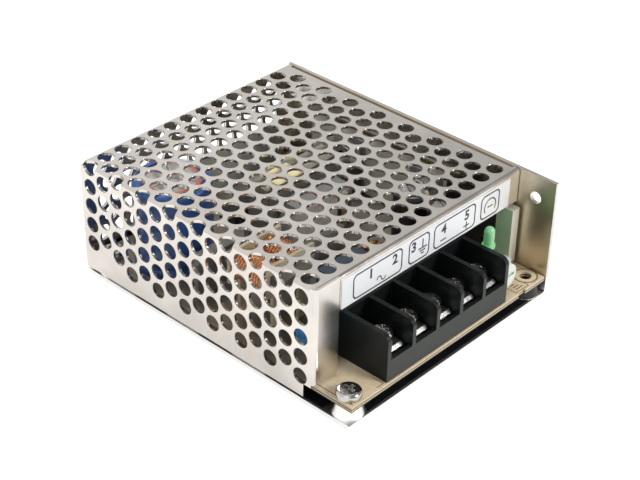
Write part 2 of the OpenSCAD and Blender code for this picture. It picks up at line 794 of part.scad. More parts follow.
// Cover sheet: top, perforated side, rear, lip, plain strip and inner flange
module cover_sheet() {
    inner_front = cover_front_y + cover_t + seam;
    joint = cover_t + seam + over;
    along_y(inner_front, panel_rear_y) translate([left_x, case_h])
        fold(case_w / 2, case_h - cover_lift, cover_t, cover_bend_r);
    along_y(inner_front, panel_rear_y) translate([cover_right_x, case_h]) mirror([1, 0])
        fold(cover_right_x, flange_h, cover_t, cover_bend_r);
    between([left_x, panel_rear_y - over, cover_lift], [cover_in_x, rear_y, case_h - cover_bend_r]);
    along_x(lip_x, cover_right_x) translate([cover_front_y, case_h])
        fold(joint, lip_h, cover_t, cover_bend_r);
    translate([left_x, cover_front_y, strip_z]) linear_extrude(case_h - strip_z) mirror([0, 1])
        fold(strip_w, joint, cover_t, cover_bend_r);
    along_x(cover_in_x + seam, cover_right_x) translate([rear_y, case_h]) mirror([1, 0])
        fold(cover_bend_r + over, case_h - cover_lift, cover_t, cover_bend_r);
}

// Place of a row of holes, counted from the cover's front
function row_y(j) = cover_front_y + perf_front + j * row_step;

// Every other row has a hole right on the fold of the side, cut from both faces
module fold_perforations() {
    for (j = [1 : 2 : perf_rows - 1]) {
        translate([left_x + perf_edge - perf_pitch / 2, row_y(j), panel_z])
            cylinder(d = perf_d, h = case_h - panel_z + over);
        hole_x([row_y(j), case_h - side_drop + perf_pitch / 2], perf_d, left_x - over, left_x + cover_bend_r);
    }
}

module top_perforations() {
    for (j = [0 : perf_rows - 1]) for (i = [0 : perf_cols - 1]) {
        x = left_x + perf_edge + row_shift(j) + i * perf_pitch;
        if (x < cover_right_x - perf_margin) translate([x, row_y(j), panel_z])
            cylinder(d = perf_d, h = case_h - panel_z + over);
    }
}

// The second last row of the side lacks its lowest hole
module side_perforations() {
    for (j = [0 : perf_rows - 1]) {
        drop = side_drop + row_shift(j);
        rows = floor((side_room - drop) / perf_pitch) + (j == perf_rows - 2 ? 0 : 1);
        for (k = [0 : rows - 1])
            hole_x([row_y(j), case_h - drop - k * perf_pitch], perf_d, left_x - over, left_x + cover_bend_r);
    }
}

module rear_perforations() {
    for (k = [0 : rear_rows - 1]) for (i = [0 : perf_cols - 1]) {
        x = left_x + perf_edge + row_shift(k) + (i + 0.5) * perf_pitch;
        if (x < cover_right_x - perf_margin)
            translate([x, cover_rear_in_y - over, case_h - perf_rear_drop - k * row_step]) rotate([-90, 0, 0])
                cylinder(d = perf_d, h = cover_t + 2 * over);
    }
}

// One panel of the cover: the folded sheet between two corners, less the cuts given as children
module cover_panel(low, high) color([0.86, 0.83, 0.8]) difference() {
    intersection() {
        cover_sheet();
        between(low, high);
    }
    children();
}

module cover_top() cover_panel([left_x - over, cover_front_y - over, panel_z],
                               [right_x, rear_y + over, case_h + over]) {
    top_perforations();
    fold_perforations();
    between([left_x - over, cover_front_y - over, panel_z - over],
            [strip_seam_x, front_seam_y, case_h + over]);
}

module cover_side() cover_panel([left_x - over, front_seam_y, cover_lift - over],
                                [rear_seam_x, rear_y + over, panel_z]) {
    side_perforations();
    fold_perforations();
    between([left_x - over, cover_front_y, cover_lift - over],
            [cover_in_x + over, cover_front_y + notch_l, cover_lift + notch_h]);
}

module cover_rear() cover_panel([rear_seam_x, rear_seam_y, cover_lift - over],
                                [right_x, rear_y + over, panel_z]) rear_perforations();

module cover_lip() cover_panel([strip_seam_x, cover_front_y - over, lip_z - over],
                               [right_x, front_seam_y, panel_z]);

module cover_strip() cover_panel([left_x - over, cover_front_y - over, cover_lift + notch_h],
                                 [strip_seam_x, front_seam_y, case_h + over]);

module cover_flange() cover_panel([flange_x, front_seam_y, panel_z - flange_h],
                                  [right_x, rear_seam_y, panel_z])
    for (p = cover_screws) hole_x(p, shank_hole_d, cover_right_x - cover_t - over, cover_right_x + over);

// Countersunk screws: two hold the cover's flange, two hold the heat bar
module wall_screws() color([0.7, 0.7, 0.72]) {
    for (p = cover_screws) translate([right_x, p[0], p[1]])
        flush_screw(base_t + cover_gap + cover_t + flush_end);
    for (p = bar_screws) translate([right_x, p[0], p[1]])
        flush_screw(base_t + pad_t + bar_t - flush_end);
}

// Black film that keeps the solder side off the base
module insulating_film() color([0.07, 0.07, 0.08])
    translate([0, 0, base_t]) linear_extrude(film_t) difference() {
        union() {
            translate([film_left, film_front]) square([film_right - film_left, film_rear - film_front]);
            translate([apron_left, apron_front]) square([film_right - apron_left, apron_rear - apron_front]);
        }
        for (p = board_holes) translate(p) circle(d = boss_foot_d + 2 * film_gap);
        for (p = mount_holes) translate(p) circle(d = collar_d + 2 * film_gap);
    }

// Board that carries every electrical piece
module circuit_board() color([0.77, 0.63, 0.4])
    translate([0, 0, board_z]) linear_extrude(board_t) difference() {
        translate([board_left, board_front]) square([board_right - board_left, board_rear - board_front]);
        for (p = board_holes) translate(p) circle(d = board_hole_d);
        translate([board_right - board_notch_x - board_notch_w, board_front - over])
            square([board_notch_w, over + board_notch_d]);
        for (i = [1 : terminals]) translate([terminal_x(i) - tail_w / 2 - screw_gap, tail_y - screw_gap])
            square([tail_w + 2 * screw_gap, contact_t + 2 * screw_gap]);
    }

// Screws in three of the four bosses
module board_screws() color([0.75, 0.75, 0.76]) for (k = [0 : 2])
    translate([board_holes[k][0], board_holes[k][1], board_top])
        pan_screw(screw_d, screw_l, board_head_d, screw_head_h);

// Moulded block: barriers between open bays, a low front wall and a closed rear
module terminal_block() color([0.08, 0.08, 0.085]) difference() {
    union() {
        for (i = [0 : terminals]) {
            x = block_left + i * terminal_pitch;
            along_x(x, x + barrier_t) translate([block_front, board_top])
                round_corner(block_l, barrier_h, barrier_r);
        }
        between([block_left, block_front, board_top], [block_right, block_rear, floor_z]);
        between([block_left, block_front, board_top],
                [block_right, block_front + front_t, board_top + front_h]);
        between([block_left, block_rear - block_rear_t, board_top],
                [block_right, block_rear, board_top + barrier_h]);
    }
    for (i = [1 : terminals]) {
        translate([terminal_x(i), screw_y, floor_z - thread_room])
            cylinder(d = thread_d + 2 * terminal_gap, h = thread_room + over);
        translate([terminal_x(i) - tail_w / 2 - screw_gap, tail_y - screw_gap, board_top - over])
            cube([tail_w + 2 * screw_gap, contact_t + 2 * screw_gap, floor_h + 2 * over]);
    }
}

// Tinned contacts: each a plate with a drawn thread, and a tail soldered into the board
module terminal_contacts() color([0.8, 0.79, 0.74])
    for (i = [1 : terminals]) translate([terminal_x(i), 0, 0]) {
        difference() {
            union() {
                between([-plate_w / 2, contact_front, floor_z], [plate_w / 2, contact_rear, contact_top]);
                translate([0, screw_y, floor_z - contact_thread_h])
                    cylinder(d = thread_d, h = contact_thread_h);
            }
            translate([0, screw_y, board_top]) cylinder(d = terminal_bore, h = contact_top);
        }
        between([-tail_w / 2, tail_y, board_z - tail_below], [tail_w / 2, tail_y + contact_t, floor_z]);
    }

// Clamp plate with a bevelled front edge, which rides on the screw and grips the wire
module terminal_clamp(i) color([0.82, 0.81, 0.77]) translate([terminal_x(i), screw_y, contact_top])
    difference() {
        along_x(-plate_w / 2, plate_w / 2) translate([-clamp_l / 2, 0])
            polygon([[0, 0], [clamp_l, 0], [clamp_l, clamp_t], [clamp_chamfer, clamp_t],
                     [0, clamp_t - clamp_chamfer]]);
        translate([0, 0, -over]) cylinder(d = terminal_bore, h = clamp_t + 2 * over);
        for (s = [-1, 1]) translate([(s * groove_step - groove_w) / 2, -clamp_l / 2 - over, -over])
            cube([groove_w, clamp_l + 2 * over, over + groove_d]);
    }

// Split washer under the screw head
module spring_washer(i) color([0.7, 0.7, 0.7]) translate([terminal_x(i), screw_y, washer_z])
    rotate(washer_split / 2 - 90) rotate_extrude(angle = 360 - washer_split)
        translate([terminal_bore / 2, 0]) square([(washer_d - terminal_bore) / 2, washer_t]);

module terminal_screw(i) color([0.85, 0.84, 0.8]) translate([terminal_x(i), screw_y, head_z])
    rotate(screw_turn * i) pan_screw(terminal_d, terminal_l, terminal_head_d, terminal_head_h);

// Label stuck to the front of the lip
module label_strip() color([0.83, 0.84, 0.85])
    between([lip_x + label_in, cover_front_y - label_t, lip_z + label_up],
            [cover_right_x - label_end, cover_front_y, lip_z + label_up + label_h]);

// Output adjuster: a slotted rotor whose hub turns in an upright base plate
module trimmer_base() color([0.7, 0.72, 0.68]) translate(trimmer_at) {
    back = rotor_t + hub_gap;
    difference() {
        translate([-trimmer_w / 2, back + trimmer_t, 0]) rotate([90, 0, 0]) linear_extrude(trimmer_t)
            polygon([[0, -trimmer_z], [trimmer_w, -trimmer_z], [trimmer_w, trimmer_rise - trimmer_chamfer],
                     [trimmer_w - trimmer_chamfer, trimmer_rise], [trimmer_chamfer, trimmer_rise],
                     [0, trimmer_rise - trimmer_chamfer]]);
        translate([0, back - over, 0]) rotate([-90, 0, 0])
            cylinder(d = hub_d + 2 * hub_gap, h = trimmer_t + 2 * over);
    }
}

module trimmer_rotor() color([0.9, 0.92, 0.88]) translate(trimmer_at) difference() {
    rotate([-90, 0, 0]) {
        cylinder(d = rotor_d, h = rotor_t);
        cylinder(d = hub_d, h = rotor_t + hub_gap + trimmer_t);
    }
    translate([-rotor_slot_l / 2, -over, -rotor_slot_w / 2])
        cube([rotor_slot_l, over + rotor_slot_d, rotor_slot_w]);
}

// Green indicator on long leads
module indicator_led() color([0.35, 0.72, 0.42])
    translate([block_right + led_x, front_y + led_y, board_top]) {
        r = led_d / 2;
        translate([0, 0, led_z]) {
            cylinder(r = r + led_flange, h = led_flange_h);
            cylinder(r = r, h = led_h - r);
            translate([0, 0, led_h - r]) sphere(r);
        }
        for (s = [-1, 1]) translate([(s * led_lead_pitch - led_lead) / 2, -led_lead / 2, 0])
            cube([led_lead, led_lead, led_z + led_flange_h / 2]);
    }

// Aluminium bar that carries heat to the chassis wall
module heat_bar() color([0.72, 0.72, 0.7]) difference() {
    translate([bar_x, bar_front, bar_z]) cube([bar_t, bar_l, bar_h]);
    for (p = bar_screws) hole_x(p, shank_hole_d, bar_x - over, bar_x + bar_t + over);
    for (y = device_ys) hole_x([y, device_screw_z], shank_hole_d, bar_x - over, bar_x + bar_t + over);
}

module thermal_pad() color([0.55, 0.56, 0.6]) difference() {
    between([bar_x + bar_t, bar_front + pad_in, bar_z + pad_up],
            [wall_in_x, bar_front + bar_l - pad_in, bar_z + bar_h - pad_up]);
    for (p = bar_screws) hole_x(p, shank_hole_d, bar_x + bar_t - over, wall_in_x + over);
}

module device_insulators() color([0.62, 0.63, 0.66]) for (y = device_ys) difference() {
    between([device_x, y - device_w / 2 - insulator_border, device_top - device_h],
            [bar_x, y + device_w / 2 + insulator_border, device_top + insulator_border]);
    hole_x([y, device_screw_z], shank_hole_d, device_x - over, bar_x + over);
}

// Power device: a moulded body on a metal tab, screwed flat to the bar
module power_device(y) difference() {
    foot = device_top - device_h;
    union() {
        between([device_x - device_tab_t, y - device_w / 2, foot], [device_x, y + device_w / 2, device_top]);
        between([device_x - device_body_t, y - device_w / 2, foot],
                [device_x, y + device_w / 2, foot + device_body_h]);
        for (s = [-1, 0, 1]) translate([device_x - device_body_t / 2, y + s * device_leg_pitch, board_top])
            linear_extrude(foot + device_leg - board_top) square(device_leg, center = true);
    }
    hole_x([y, device_screw_z], shank_hole_d, device_x - device_tab_t - over, device_x + over);
}

module switching_transistor() color([0.1, 0.1, 0.11]) power_device(device_ys[0]);

module output_diode() color([0.1, 0.1, 0.11]) power_device(device_ys[1]);

module device_screws() color([0.75, 0.75, 0.76]) for (y = device_ys)
    translate([device_x - device_tab_t, y, device_screw_z]) rotate([0, -90, 0])
        pan_screw(screw_d, device_tab_t + insulator_t + device_screw_in, screw_head_d, screw_head_h);

// Sleeved can: a crimped foot, a round shoulder and a bare top inside the sleeve's rim
module can(d, h) {
    r = d / 2;
    shoulder = can_shoulder * d;
    rotate_extrude() difference() {
        union() {
            square([r - shoulder, h]);
            square([r, h - shoulder]);
            translate([r - shoulder, h - shoulder]) circle(shoulder);
        }
        translate([0, h - can_dish]) square([r - can_rim * d, can_dish + over]);
        translate([r + shoulder / 2, can_crimp * d]) circle(shoulder);
    }
}

module bulk_capacitor() color([0.1, 0.17, 0.42]) translate(bulk_at) can(bulk_d, bulk_h);

module output_capacitor(k) color([0.12, 0.13, 0.16])
    on_board(bar_x - out_cap_in, out_cap_y + (k - 1) * out_cap_step) can(out_cap_d, out_cap_h);

module small_capacitor() color([0.12, 0.13, 0.16])
    on_board(small_cap_x, small_cap_y) can(small_cap_d, small_cap_h);

// Dipped disc on two leads, its flat sides facing +X and -X
module disc(d, t, up) {
    translate([0, 0, up + d / 2]) rotate([0, 90, 0]) rotate_extrude() {
        translate([0, -t / 2]) square([(d - t) / 2, t]);
        translate([(d - t) / 2, 0]) circle(t / 2);
    }
    for (s = [-1, 1]) translate([-disc_lead / 2, (s * disc_lead_pitch - disc_lead) / 2, 0])
        cube([disc_lead, disc_lead, up + d / 2]);
}

module varistor() color([0.1, 0.42, 0.75])
    near_side(varistor_x, varistor_y) disc(varistor_d, varistor_t, varistor_up);

module thermistor() color([0.16, 0.2, 0.14])
    on_board(thermistor_x, thermistor_y) disc(thermistor_d, thermistor_t, thermistor_up);

// Box-shaped film capacitor on two moulded feet
module suppression_capacitor() color([0.12, 0.3, 0.55]) on_board(film_cap_x, film_cap_y) difference() {
    translate([0, -film_cap_w / 2, 0]) cube([film_cap_l, film_cap_w, film_cap_h]);
    translate([film_cap_foot_l, -film_cap_w / 2 - over, -over])
        cube([film_cap_l - 2 * film_cap_foot_l, film_cap_w + 2 * over, over + film_cap_foot_h]);
}

// Ceramic fuse between two caps, lying on its leads
module fuse() color([0.85, 0.82, 0.72]) on_board(fuse_x, fuse_y) {
    axis_z = fuse_d / 2 + fuse_cap;
    translate([0, 0, axis_z]) rotate([0, 90, 0]) {
        cylinder(d = fuse_d, h = fuse_l);
        for (x = [0, fuse_l - fuse_cap_l]) translate([0, 0, x])
            cylinder(d = fuse_d + 2 * fuse_cap, h = fuse_cap_l);
        translate([0, 0, -fuse_lead_l]) cylinder(d = fuse_lead, h = fuse_l + 2 * fuse_lead_l);
    }
    for (x = [-fuse_lead_l, fuse_l + fuse_lead_l - fuse_lead]) translate([x, -fuse_lead / 2, 0])
        cube([fuse_lead, fuse_lead, axis_z]);
}

// Flat moulded bridge standing on four leads, with one corner cut off
module bridge_rectifier() color([0.09, 0.09, 0.1]) translate(bridge_at) {
    top = bridge_up + bridge_h;
    translate([-bridge_w / 2, bridge_t / 2, 0]) rotate([90, 0, 0]) linear_extrude(bridge_t)
        polygon([[0, bridge_up], [bridge_w, bridge_up], [bridge_w, top], [bridge_chamfer, top],
                 [0, top - bridge_chamfer]]);
    for (k = [0 : 3]) translate([(k - 1.5) * bridge_lead_pitch, 0, 0])
        linear_extrude(bridge_up + bridge_lead_w) square(bridge_lead_w, center = true);
}

// Line choke: two coils side by side on a closed square core
module choke_core() color([0.2, 0.19, 0.19]) near_side(choke_x, choke_y) translate([0, 0, coil_z]) {
    half = choke_core / 2;
    out = choke_pitch / 2 + half;
    inner = choke_pitch / 2 - half;
    end = choke_leg_l / 2 + core_gap;
    difference() {
        between([-out, -end - choke_core, -half], [out, end + choke_core, half]);
        between([-inner, -end, -half - over], [inner, end, half + over]);
    }
}

module choke_bobbins() color([0.88, 0.83, 0.7]) near_side(choke_x, choke_y)
    for (s = [-1, 1]) translate([s * choke_pitch / 2, 0, coil_z]) difference() {
        union() {
            rotate([90, 0, 0]) cylinder(d = choke_tube_d, h = choke_leg_l, center = true);
            for (e = [-1, 1]) translate([0, e * (choke_leg_l - choke_flange_t) / 2, 0]) {
                cube([choke_flange_w, choke_flange_t, choke_flange_w], center = true);
                translate([0, 0, -coil_z / 2]) cube([choke_foot_w, choke_flange_t, coil_z], center = true);
            }
        }
        cube([choke_core + 2 * core_gap, choke_leg_l + over, choke_core + 2 * core_gap], center = true);
    }

module choke_windings() color([0.75, 0.4, 0.2]) near_side(choke_x, choke_y)
    for (s = [-1, 1]) translate([s * choke_pitch / 2, coil_l / 2, coil_z]) rotate([90, 0, 0])
        rotate_extrude() {
            inner = choke_tube_d / 2 + screw_gap;
            wire_r = (coil_d - coil_wire) / 2;
            translate([inner, 0]) square([wire_r - inner, coil_l]);
            for (k = [0 : coil_turns - 1]) translate([wire_r, (k + 0.5) * coil_l / coil_turns])
                circle(d = coil_wire);
        }

// Transformer: a taped winding on a bobbin, between two ferrite halves held by a tape belt
module transformer_core() color([0.17, 0.16, 0.16])
    on_board(trafo_x, trafo_y) translate([0, core_d / 2, core_up]) rotate([90, 0, 0]) linear_extrude(core_d)
        difference() {
            translate([-core_w / 2, 0]) square([core_w, core_h]);
            for (x = [core_leg - core_w / 2, core_mid / 2]) translate([x, core_leg])
                square([core_window, core_h - 2 * core_leg]);
        }

module transformer_bobbin() color([0.1, 0.1, 0.1]) on_board(trafo_x, trafo_y) {
    flange = [bobbin_w, winding_d + 2 * bobbin_over];
    difference() {
        union() {
            translate([0, 0, bobbin_z]) linear_extrude(bobbin_h)
                square([for (d = bobbin_tube) d + 2 * bobbin_tube_t], center = true);
            for (z = [bobbin_z, bobbin_z + bobbin_h - bobbin_flange_t]) translate([0, 0, z])
                linear_extrude(bobbin_flange_t) square(flange, center = true);
            for (s = [-1, 1]) translate([0, s * (flange[1] - pin_rail) / 2, 0])
                linear_extrude(bobbin_z + bobbin_flange_t) square([bobbin_w, pin_rail], center = true);
        }
        linear_extrude(case_h) square(bobbin_tube, center = true);
    }
}

module transformer_winding() color([0.9, 0.82, 0.35])
    on_board(trafo_x, trafo_y) translate([0, 0, bobbin_z + bobbin_flange_t])
        linear_extrude(bobbin_h - 2 * bobbin_flange_t) difference() {
            wide = bobbin_w - 2 * core_gap;
            union() {
                square([wide - 2 * winding_r, winding_d], center = true);
                square([wide, winding_d - 2 * winding_r], center = true);
                for (x = [-1, 1]) for (y = [-1, 1])
                    translate([x * (wide / 2 - winding_r), y * (winding_d / 2 - winding_r)])
                        circle(winding_r);
            }
            square([for (d = bobbin_tube) d + 2 * bobbin_tube_t + 2 * screw_gap], center = true);
        }

module transformer_tape() color([0.9, 0.82, 0.35])
    on_board(trafo_x, trafo_y) translate([0, belt_w / 2, core_up + core_h / 2]) rotate([90, 0, 0])
        linear_extrude(belt_w) difference() {
            square([core_w + 2 * belt_t, core_h + 2 * belt_t], center = true);
            square([core_w, core_h], center = true);
        }

// Output choke: a wound ring lying on the board
module output_choke_core() color([0.75, 0.68, 0.2]) on_board(ring_x, ring_y) translate([0, 0, ring_wire])
    linear_extrude(ring_h - 2 * ring_wire) difference() {
        circle(d = ring_d - 2 * ring_wire);
        circle(d = ring_hole_d + 2 * ring_wire);
    }

module output_choke_winding() color([0.72, 0.36, 0.16]) on_board(ring_x, ring_y)
    rotate(-ring_angle / 2) rotate_extrude(angle = ring_angle) {
        deep = (ring_d - ring_hole_d) / 2;
        translate([ring_hole_d / 2, 0]) difference() {
            square([deep, ring_h]);
            translate([ring_wire - screw_gap, ring_wire - screw_gap])
                square([deep - 2 * (ring_wire - screw_gap), ring_h - 2 * (ring_wire - screw_gap)]);
        }
    }

// Moulded chip with a row of leads along each side
module chip(leads) {
    l = leads * chip_lead_pitch;
    translate([-l / 2, -chip_w / 2, chip_up]) cube([l, chip_w, chip_t]);
    for (k = [0 : leads - 1]) for (s = [-1, 1])
        translate([(k - (leads - 1) / 2) * chip_lead_pitch, s * (chip_w + chip_lead) / 2, 0])
            linear_extrude(chip_up + chip_t / 2) square(chip_lead, center = true);
}

module optocoupler() color([0.92, 0.92, 0.9]) on_board(opto_x, opto_y) chip(opto_leads);

module controller_chip() color([0.09, 0.09, 0.1]) on_board(controller_x, controller_y) chip(controller_leads);

chassis_base();
chassis_wall();
cover_top();
cover_side();
cover_rear();
cover_lip();
cover_strip();
cover_flange();
wall_screws();
insulating_film();
circuit_board();
board_screws();
terminal_block();
terminal_contacts();
for (i = [1 : terminals]) {
    terminal_clamp(i);
    spring_washer(i);
    terminal_screw(i);
}
label_strip();
trimmer_base();
trimmer_rotor();
indicator_led();
heat_bar();
thermal_pad();
device_insulators();
switching_transistor();
output_diode();
device_screws();
bulk_capacitor();
varistor();
suppression_capacitor();
fuse();
bridge_rectifier();
thermistor();
choke_core();
choke_bobbins();
choke_windings();
transformer_core();
transformer_bobbin();
transformer_winding();
transformer_tape();
output_capacitor(1);  // output_capacitor_1
output_capacitor(2);  // output_capacitor_2
output_choke_core();
output_choke_winding();
small_capacitor();
optocoupler();
controller_chip();
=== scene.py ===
# Enclosed power supply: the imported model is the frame, and each look below is fixed to it.
import math
import bmesh
import bpy
from mathutils import Matrix, Vector


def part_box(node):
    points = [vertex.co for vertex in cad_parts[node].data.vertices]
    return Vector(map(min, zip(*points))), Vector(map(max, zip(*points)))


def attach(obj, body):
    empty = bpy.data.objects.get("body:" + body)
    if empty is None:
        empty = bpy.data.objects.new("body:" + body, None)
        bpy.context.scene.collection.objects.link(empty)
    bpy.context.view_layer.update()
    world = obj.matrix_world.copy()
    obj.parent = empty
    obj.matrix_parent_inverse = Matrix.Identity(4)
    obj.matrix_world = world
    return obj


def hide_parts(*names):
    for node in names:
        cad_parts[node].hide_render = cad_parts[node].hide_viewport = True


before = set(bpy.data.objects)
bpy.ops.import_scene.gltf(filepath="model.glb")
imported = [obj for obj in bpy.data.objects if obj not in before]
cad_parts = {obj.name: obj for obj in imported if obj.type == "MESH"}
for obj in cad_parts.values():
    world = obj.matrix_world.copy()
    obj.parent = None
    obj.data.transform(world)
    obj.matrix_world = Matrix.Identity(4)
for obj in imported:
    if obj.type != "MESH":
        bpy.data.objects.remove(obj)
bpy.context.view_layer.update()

MM = 0.001


def feed(tree, socket, value):
    """Links an output to a socket, or sets the socket's own value."""
    if isinstance(value, bpy.types.NodeSocket):
        tree.links.new(value, socket)
    else:
        socket.default_value = value


def fill(tree, node, **inputs):
    """Feeds a node's inputs by name; an underscore stands for a space."""
    for name, value in inputs.items():
        feed(tree, node.inputs[name.replace("_", " ")], value)


def put(tree, kind, settings=None, **inputs):
    """Adds a node with its settings and inputs."""
    node = tree.nodes.new(kind)
    for name, value in (settings or {}).items():
        setattr(node, name, value)
    fill(tree, node, **inputs)
    return node


def use(tree, group, **inputs):
    """Places a shader group with its own values and returns its outputs."""
    return put(tree, "ShaderNodeGroup", {"node_tree": group}, **inputs).outputs


def reckon(tree, operation, *values):
    """One step of arithmetic on values that change over the surface."""
    node = put(tree, "ShaderNodeMath", {"operation": operation})
    for socket, value in zip(node.inputs, values):
        feed(tree, socket, value)
    return node.outputs[0]


def tint(tree, mask, first, second):
    """Goes from the first colour to the second where the mask is high."""
    node = put(tree, "ShaderNodeMix", {"data_type": "RGBA"})
    for index, value in ((0, mask), (6, first), (7, second)):
        feed(tree, node.inputs[index], value)
    return node.outputs[2]


def span(tree, value, start, stop, low, high):
    """Carries a value from one range to another, and holds it there."""
    node = put(tree, "ShaderNodeMapRange", Value=value, From_Min=start, From_Max=stop,
               To_Min=low, To_Max=high)
    return node.outputs["Result"]


def drift(tree, noise, low=0.0, high=1.0, start=0.3):
    """Spreads a noise, which keeps near its middle, over a whole range."""
    return span(tree, noise, start, 0.7, low, high)


def place_of(tree):
    """Where a point lies on the piece: its X, Y and Z."""
    where = put(tree, "ShaderNodeTexCoord").outputs["Object"]
    return put(tree, "ShaderNodeSeparateXYZ", Vector=where).outputs


def start_group(name, inputs, outputs):
    """A shader group with named inputs and outputs."""
    group = bpy.data.node_groups.new(name, "ShaderNodeTree")
    for label, kind, value in inputs:
        group.interface.new_socket(label, in_out="INPUT", socket_type=kind).default_value = value
    for label, kind in outputs:
        group.interface.new_socket(label, in_out="OUTPUT", socket_type=kind)
    return group, put(group, "NodeGroupInput").outputs, put(group, "NodeGroupOutput").inputs


def start_material(name):
    """A new material, its tree and its shader."""
    material = bpy.data.materials.new(name)
    material.use_nodes = True
    return material, material.node_tree, material.node_tree.nodes["Principled BSDF"]


def roughen(tree, shader, height, depth, strength, normal=None):
    """Relief on a surface, fed to the shader's normal."""
    relief = put(tree, "ShaderNodeBump", Height=height, Distance=depth, Strength=strength)
    if normal is not None:
        feed(tree, relief.inputs["Normal"], normal)
    feed(tree, shader.inputs["Normal"], relief.outputs["Normal"])


def dress(material, *names):
    """Gives CAD nodes their finish."""
    for name in names:
        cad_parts[name].data.materials.clear()
        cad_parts[name].data.materials.append(material)


rolled_grain, asked, given = start_group(
    "rolled_grain",
    [("Stretch", "NodeSocketVector", (1.0, 1.0, 1.0)), ("Scale", "NodeSocketFloat", 1000.0)],
    [("Lines", "NodeSocketFloat"), ("Cloud", "NodeSocketFloat")])
where = put(rolled_grain, "ShaderNodeTexCoord").outputs["Object"]
drawn = put(rolled_grain, "ShaderNodeMapping", Vector=where, Scale=asked["Stretch"]).outputs["Vector"]
lines = put(rolled_grain, "ShaderNodeTexNoise", Vector=drawn, Scale=asked["Scale"], Detail=4.0,
            Roughness=0.6)
cloud = put(rolled_grain, "ShaderNodeTexNoise", Vector=where, Scale=75.0, Detail=3.0, Roughness=0.55)
feed(rolled_grain, given["Lines"], lines.outputs[0])
feed(rolled_grain, given["Cloud"], cloud.outputs[0])


def plated_sheet(name, dull, bright, smooth, rough):
    """Plated steel with a rolling grain along Y; returns its tree, shader and mottled colour too."""
    material, tree, shader = start_material(name)
    mark = use(tree, rolled_grain, Stretch=(1.0, 0.05, 1.0), Scale=2600.0)
    colour = tint(tree, drift(tree, mark["Cloud"]), dull, bright)
    lined = reckon(tree, "MULTIPLY", mark["Lines"], 0.6)
    worn = reckon(tree, "ADD", lined, reckon(tree, "MULTIPLY", mark["Cloud"], 0.4))
    polish = span(tree, worn, 0.35, 0.65, smooth, rough)
    fill(tree, shader, Base_Color=colour, Roughness=polish, Metallic=1.0)
    roughen(tree, shader, mark["Lines"], 0.01 * MM, 0.12)
    return material, tree, shader, colour


hair = 0.05 * MM
highlight_full_to = 2.0 * MM
highlight_gone_from = 7.0 * MM
wall_inside = 39.85 * MM
boss_x = 35.4 * MM
boss_y = -45.2 * MM
boss_half = 4.3 * MM
boss_shade_from = 1.25 * MM
chassis_finish, tree, shader, colour = plated_sheet(
    "satin_plated_sheet", (0.56, 0.53, 0.49, 1), (0.68, 0.65, 0.61, 1), 0.28, 0.38)
place = place_of(tree)
# Painted reflection: every face inward of the wall's outer face takes a warm golden tint that stands in for
# the board mirrored in the metal.
inside = span(tree, place["X"], wall_inside, wall_inside + hair, 0.75, 0.0)
# Painted highlight: the low parts of the chassis are near white up to 2 mm and fade back to plated metal by
# 7 mm, as if lit bright.
painted_base_highlight = reckon(tree, "MULTIPLY", span(tree, place["Z"], 0.0, hair, 0.0, 1.0),
               span(tree, place["Z"], highlight_full_to, highlight_gone_from, 1.0, 0.0))
# Painted shade: above 1.25 mm the empty front-right boss is black and not metallic, standing in for the
# shade under the board's corner.
empty_boss = reckon(tree, "MULTIPLY", reckon(tree, "COMPARE", place["X"], boss_x, boss_half),
                    reckon(tree, "COMPARE", place["Y"], boss_y, boss_half))
painted_boss_shade = reckon(tree, "MULTIPLY", empty_boss,
               span(tree, place["Z"], boss_shade_from, boss_shade_from + hair, 0.0, 1.0))
colour = tint(tree, inside, colour, (0.70, 0.60, 0.42, 1))
colour = tint(tree, painted_base_highlight, colour, (0.90, 0.89, 0.87, 1))
colour = tint(tree, painted_boss_shade, colour, (0.010, 0.010, 0.011, 1))
fill(tree, shader, Base_Color=colour, Metallic=reckon(tree, "SUBTRACT", 1.0, painted_boss_shade))
dress(chassis_finish, "chassis_base", "chassis_wall")

# Insulating film: a die-cut sheet of black polypropylene under the solder side of the board.
# It lies loose on the base, held by the bosses that pass through it.
moulded_skin, asked, given = start_group(
    "moulded_skin",
    [("Scale", "NodeSocketFloat", 1500.0)],
    [("Peel", "NodeSocketFloat"), ("Dust", "NodeSocketFloat")])
where = put(moulded_skin, "ShaderNodeTexCoord").outputs["Object"]
peel = put(moulded_skin, "ShaderNodeTexNoise", Vector=where, Scale=asked["Scale"], Detail=2.0,
           Roughness=0.5)
dust = put(moulded_skin, "ShaderNodeTexNoise", Vector=where, Scale=210.0, Detail=5.0, Roughness=0.65)
feed(moulded_skin, given["Peel"], peel.outputs[0])
feed(moulded_skin, given["Dust"], dust.outputs[0])

edge_catch, asked, given = start_group(
    "edge_catch",
    [("Radius", "NodeSocketFloat", 0.2 * MM)],
    [("Edge", "NodeSocketFloat"), ("Normal", "NodeSocketVector")])
rounded = put(edge_catch, "ShaderNodeBevel", {"samples": 4}, Radius=asked["Radius"]).outputs["Normal"]
flat = put(edge_catch, "ShaderNodeNewGeometry").outputs["Normal"]
turned = put(edge_catch, "ShaderNodeVectorMath", {"operation": "DOT_PRODUCT"})
feed(edge_catch, turned.inputs[0], rounded)
feed(edge_catch, turned.inputs[1], flat)
feed(edge_catch, given["Edge"], span(edge_catch, turned.outputs["Value"], 0.7, 0.98, 1.0, 0.0))
feed(edge_catch, given["Normal"], rounded)


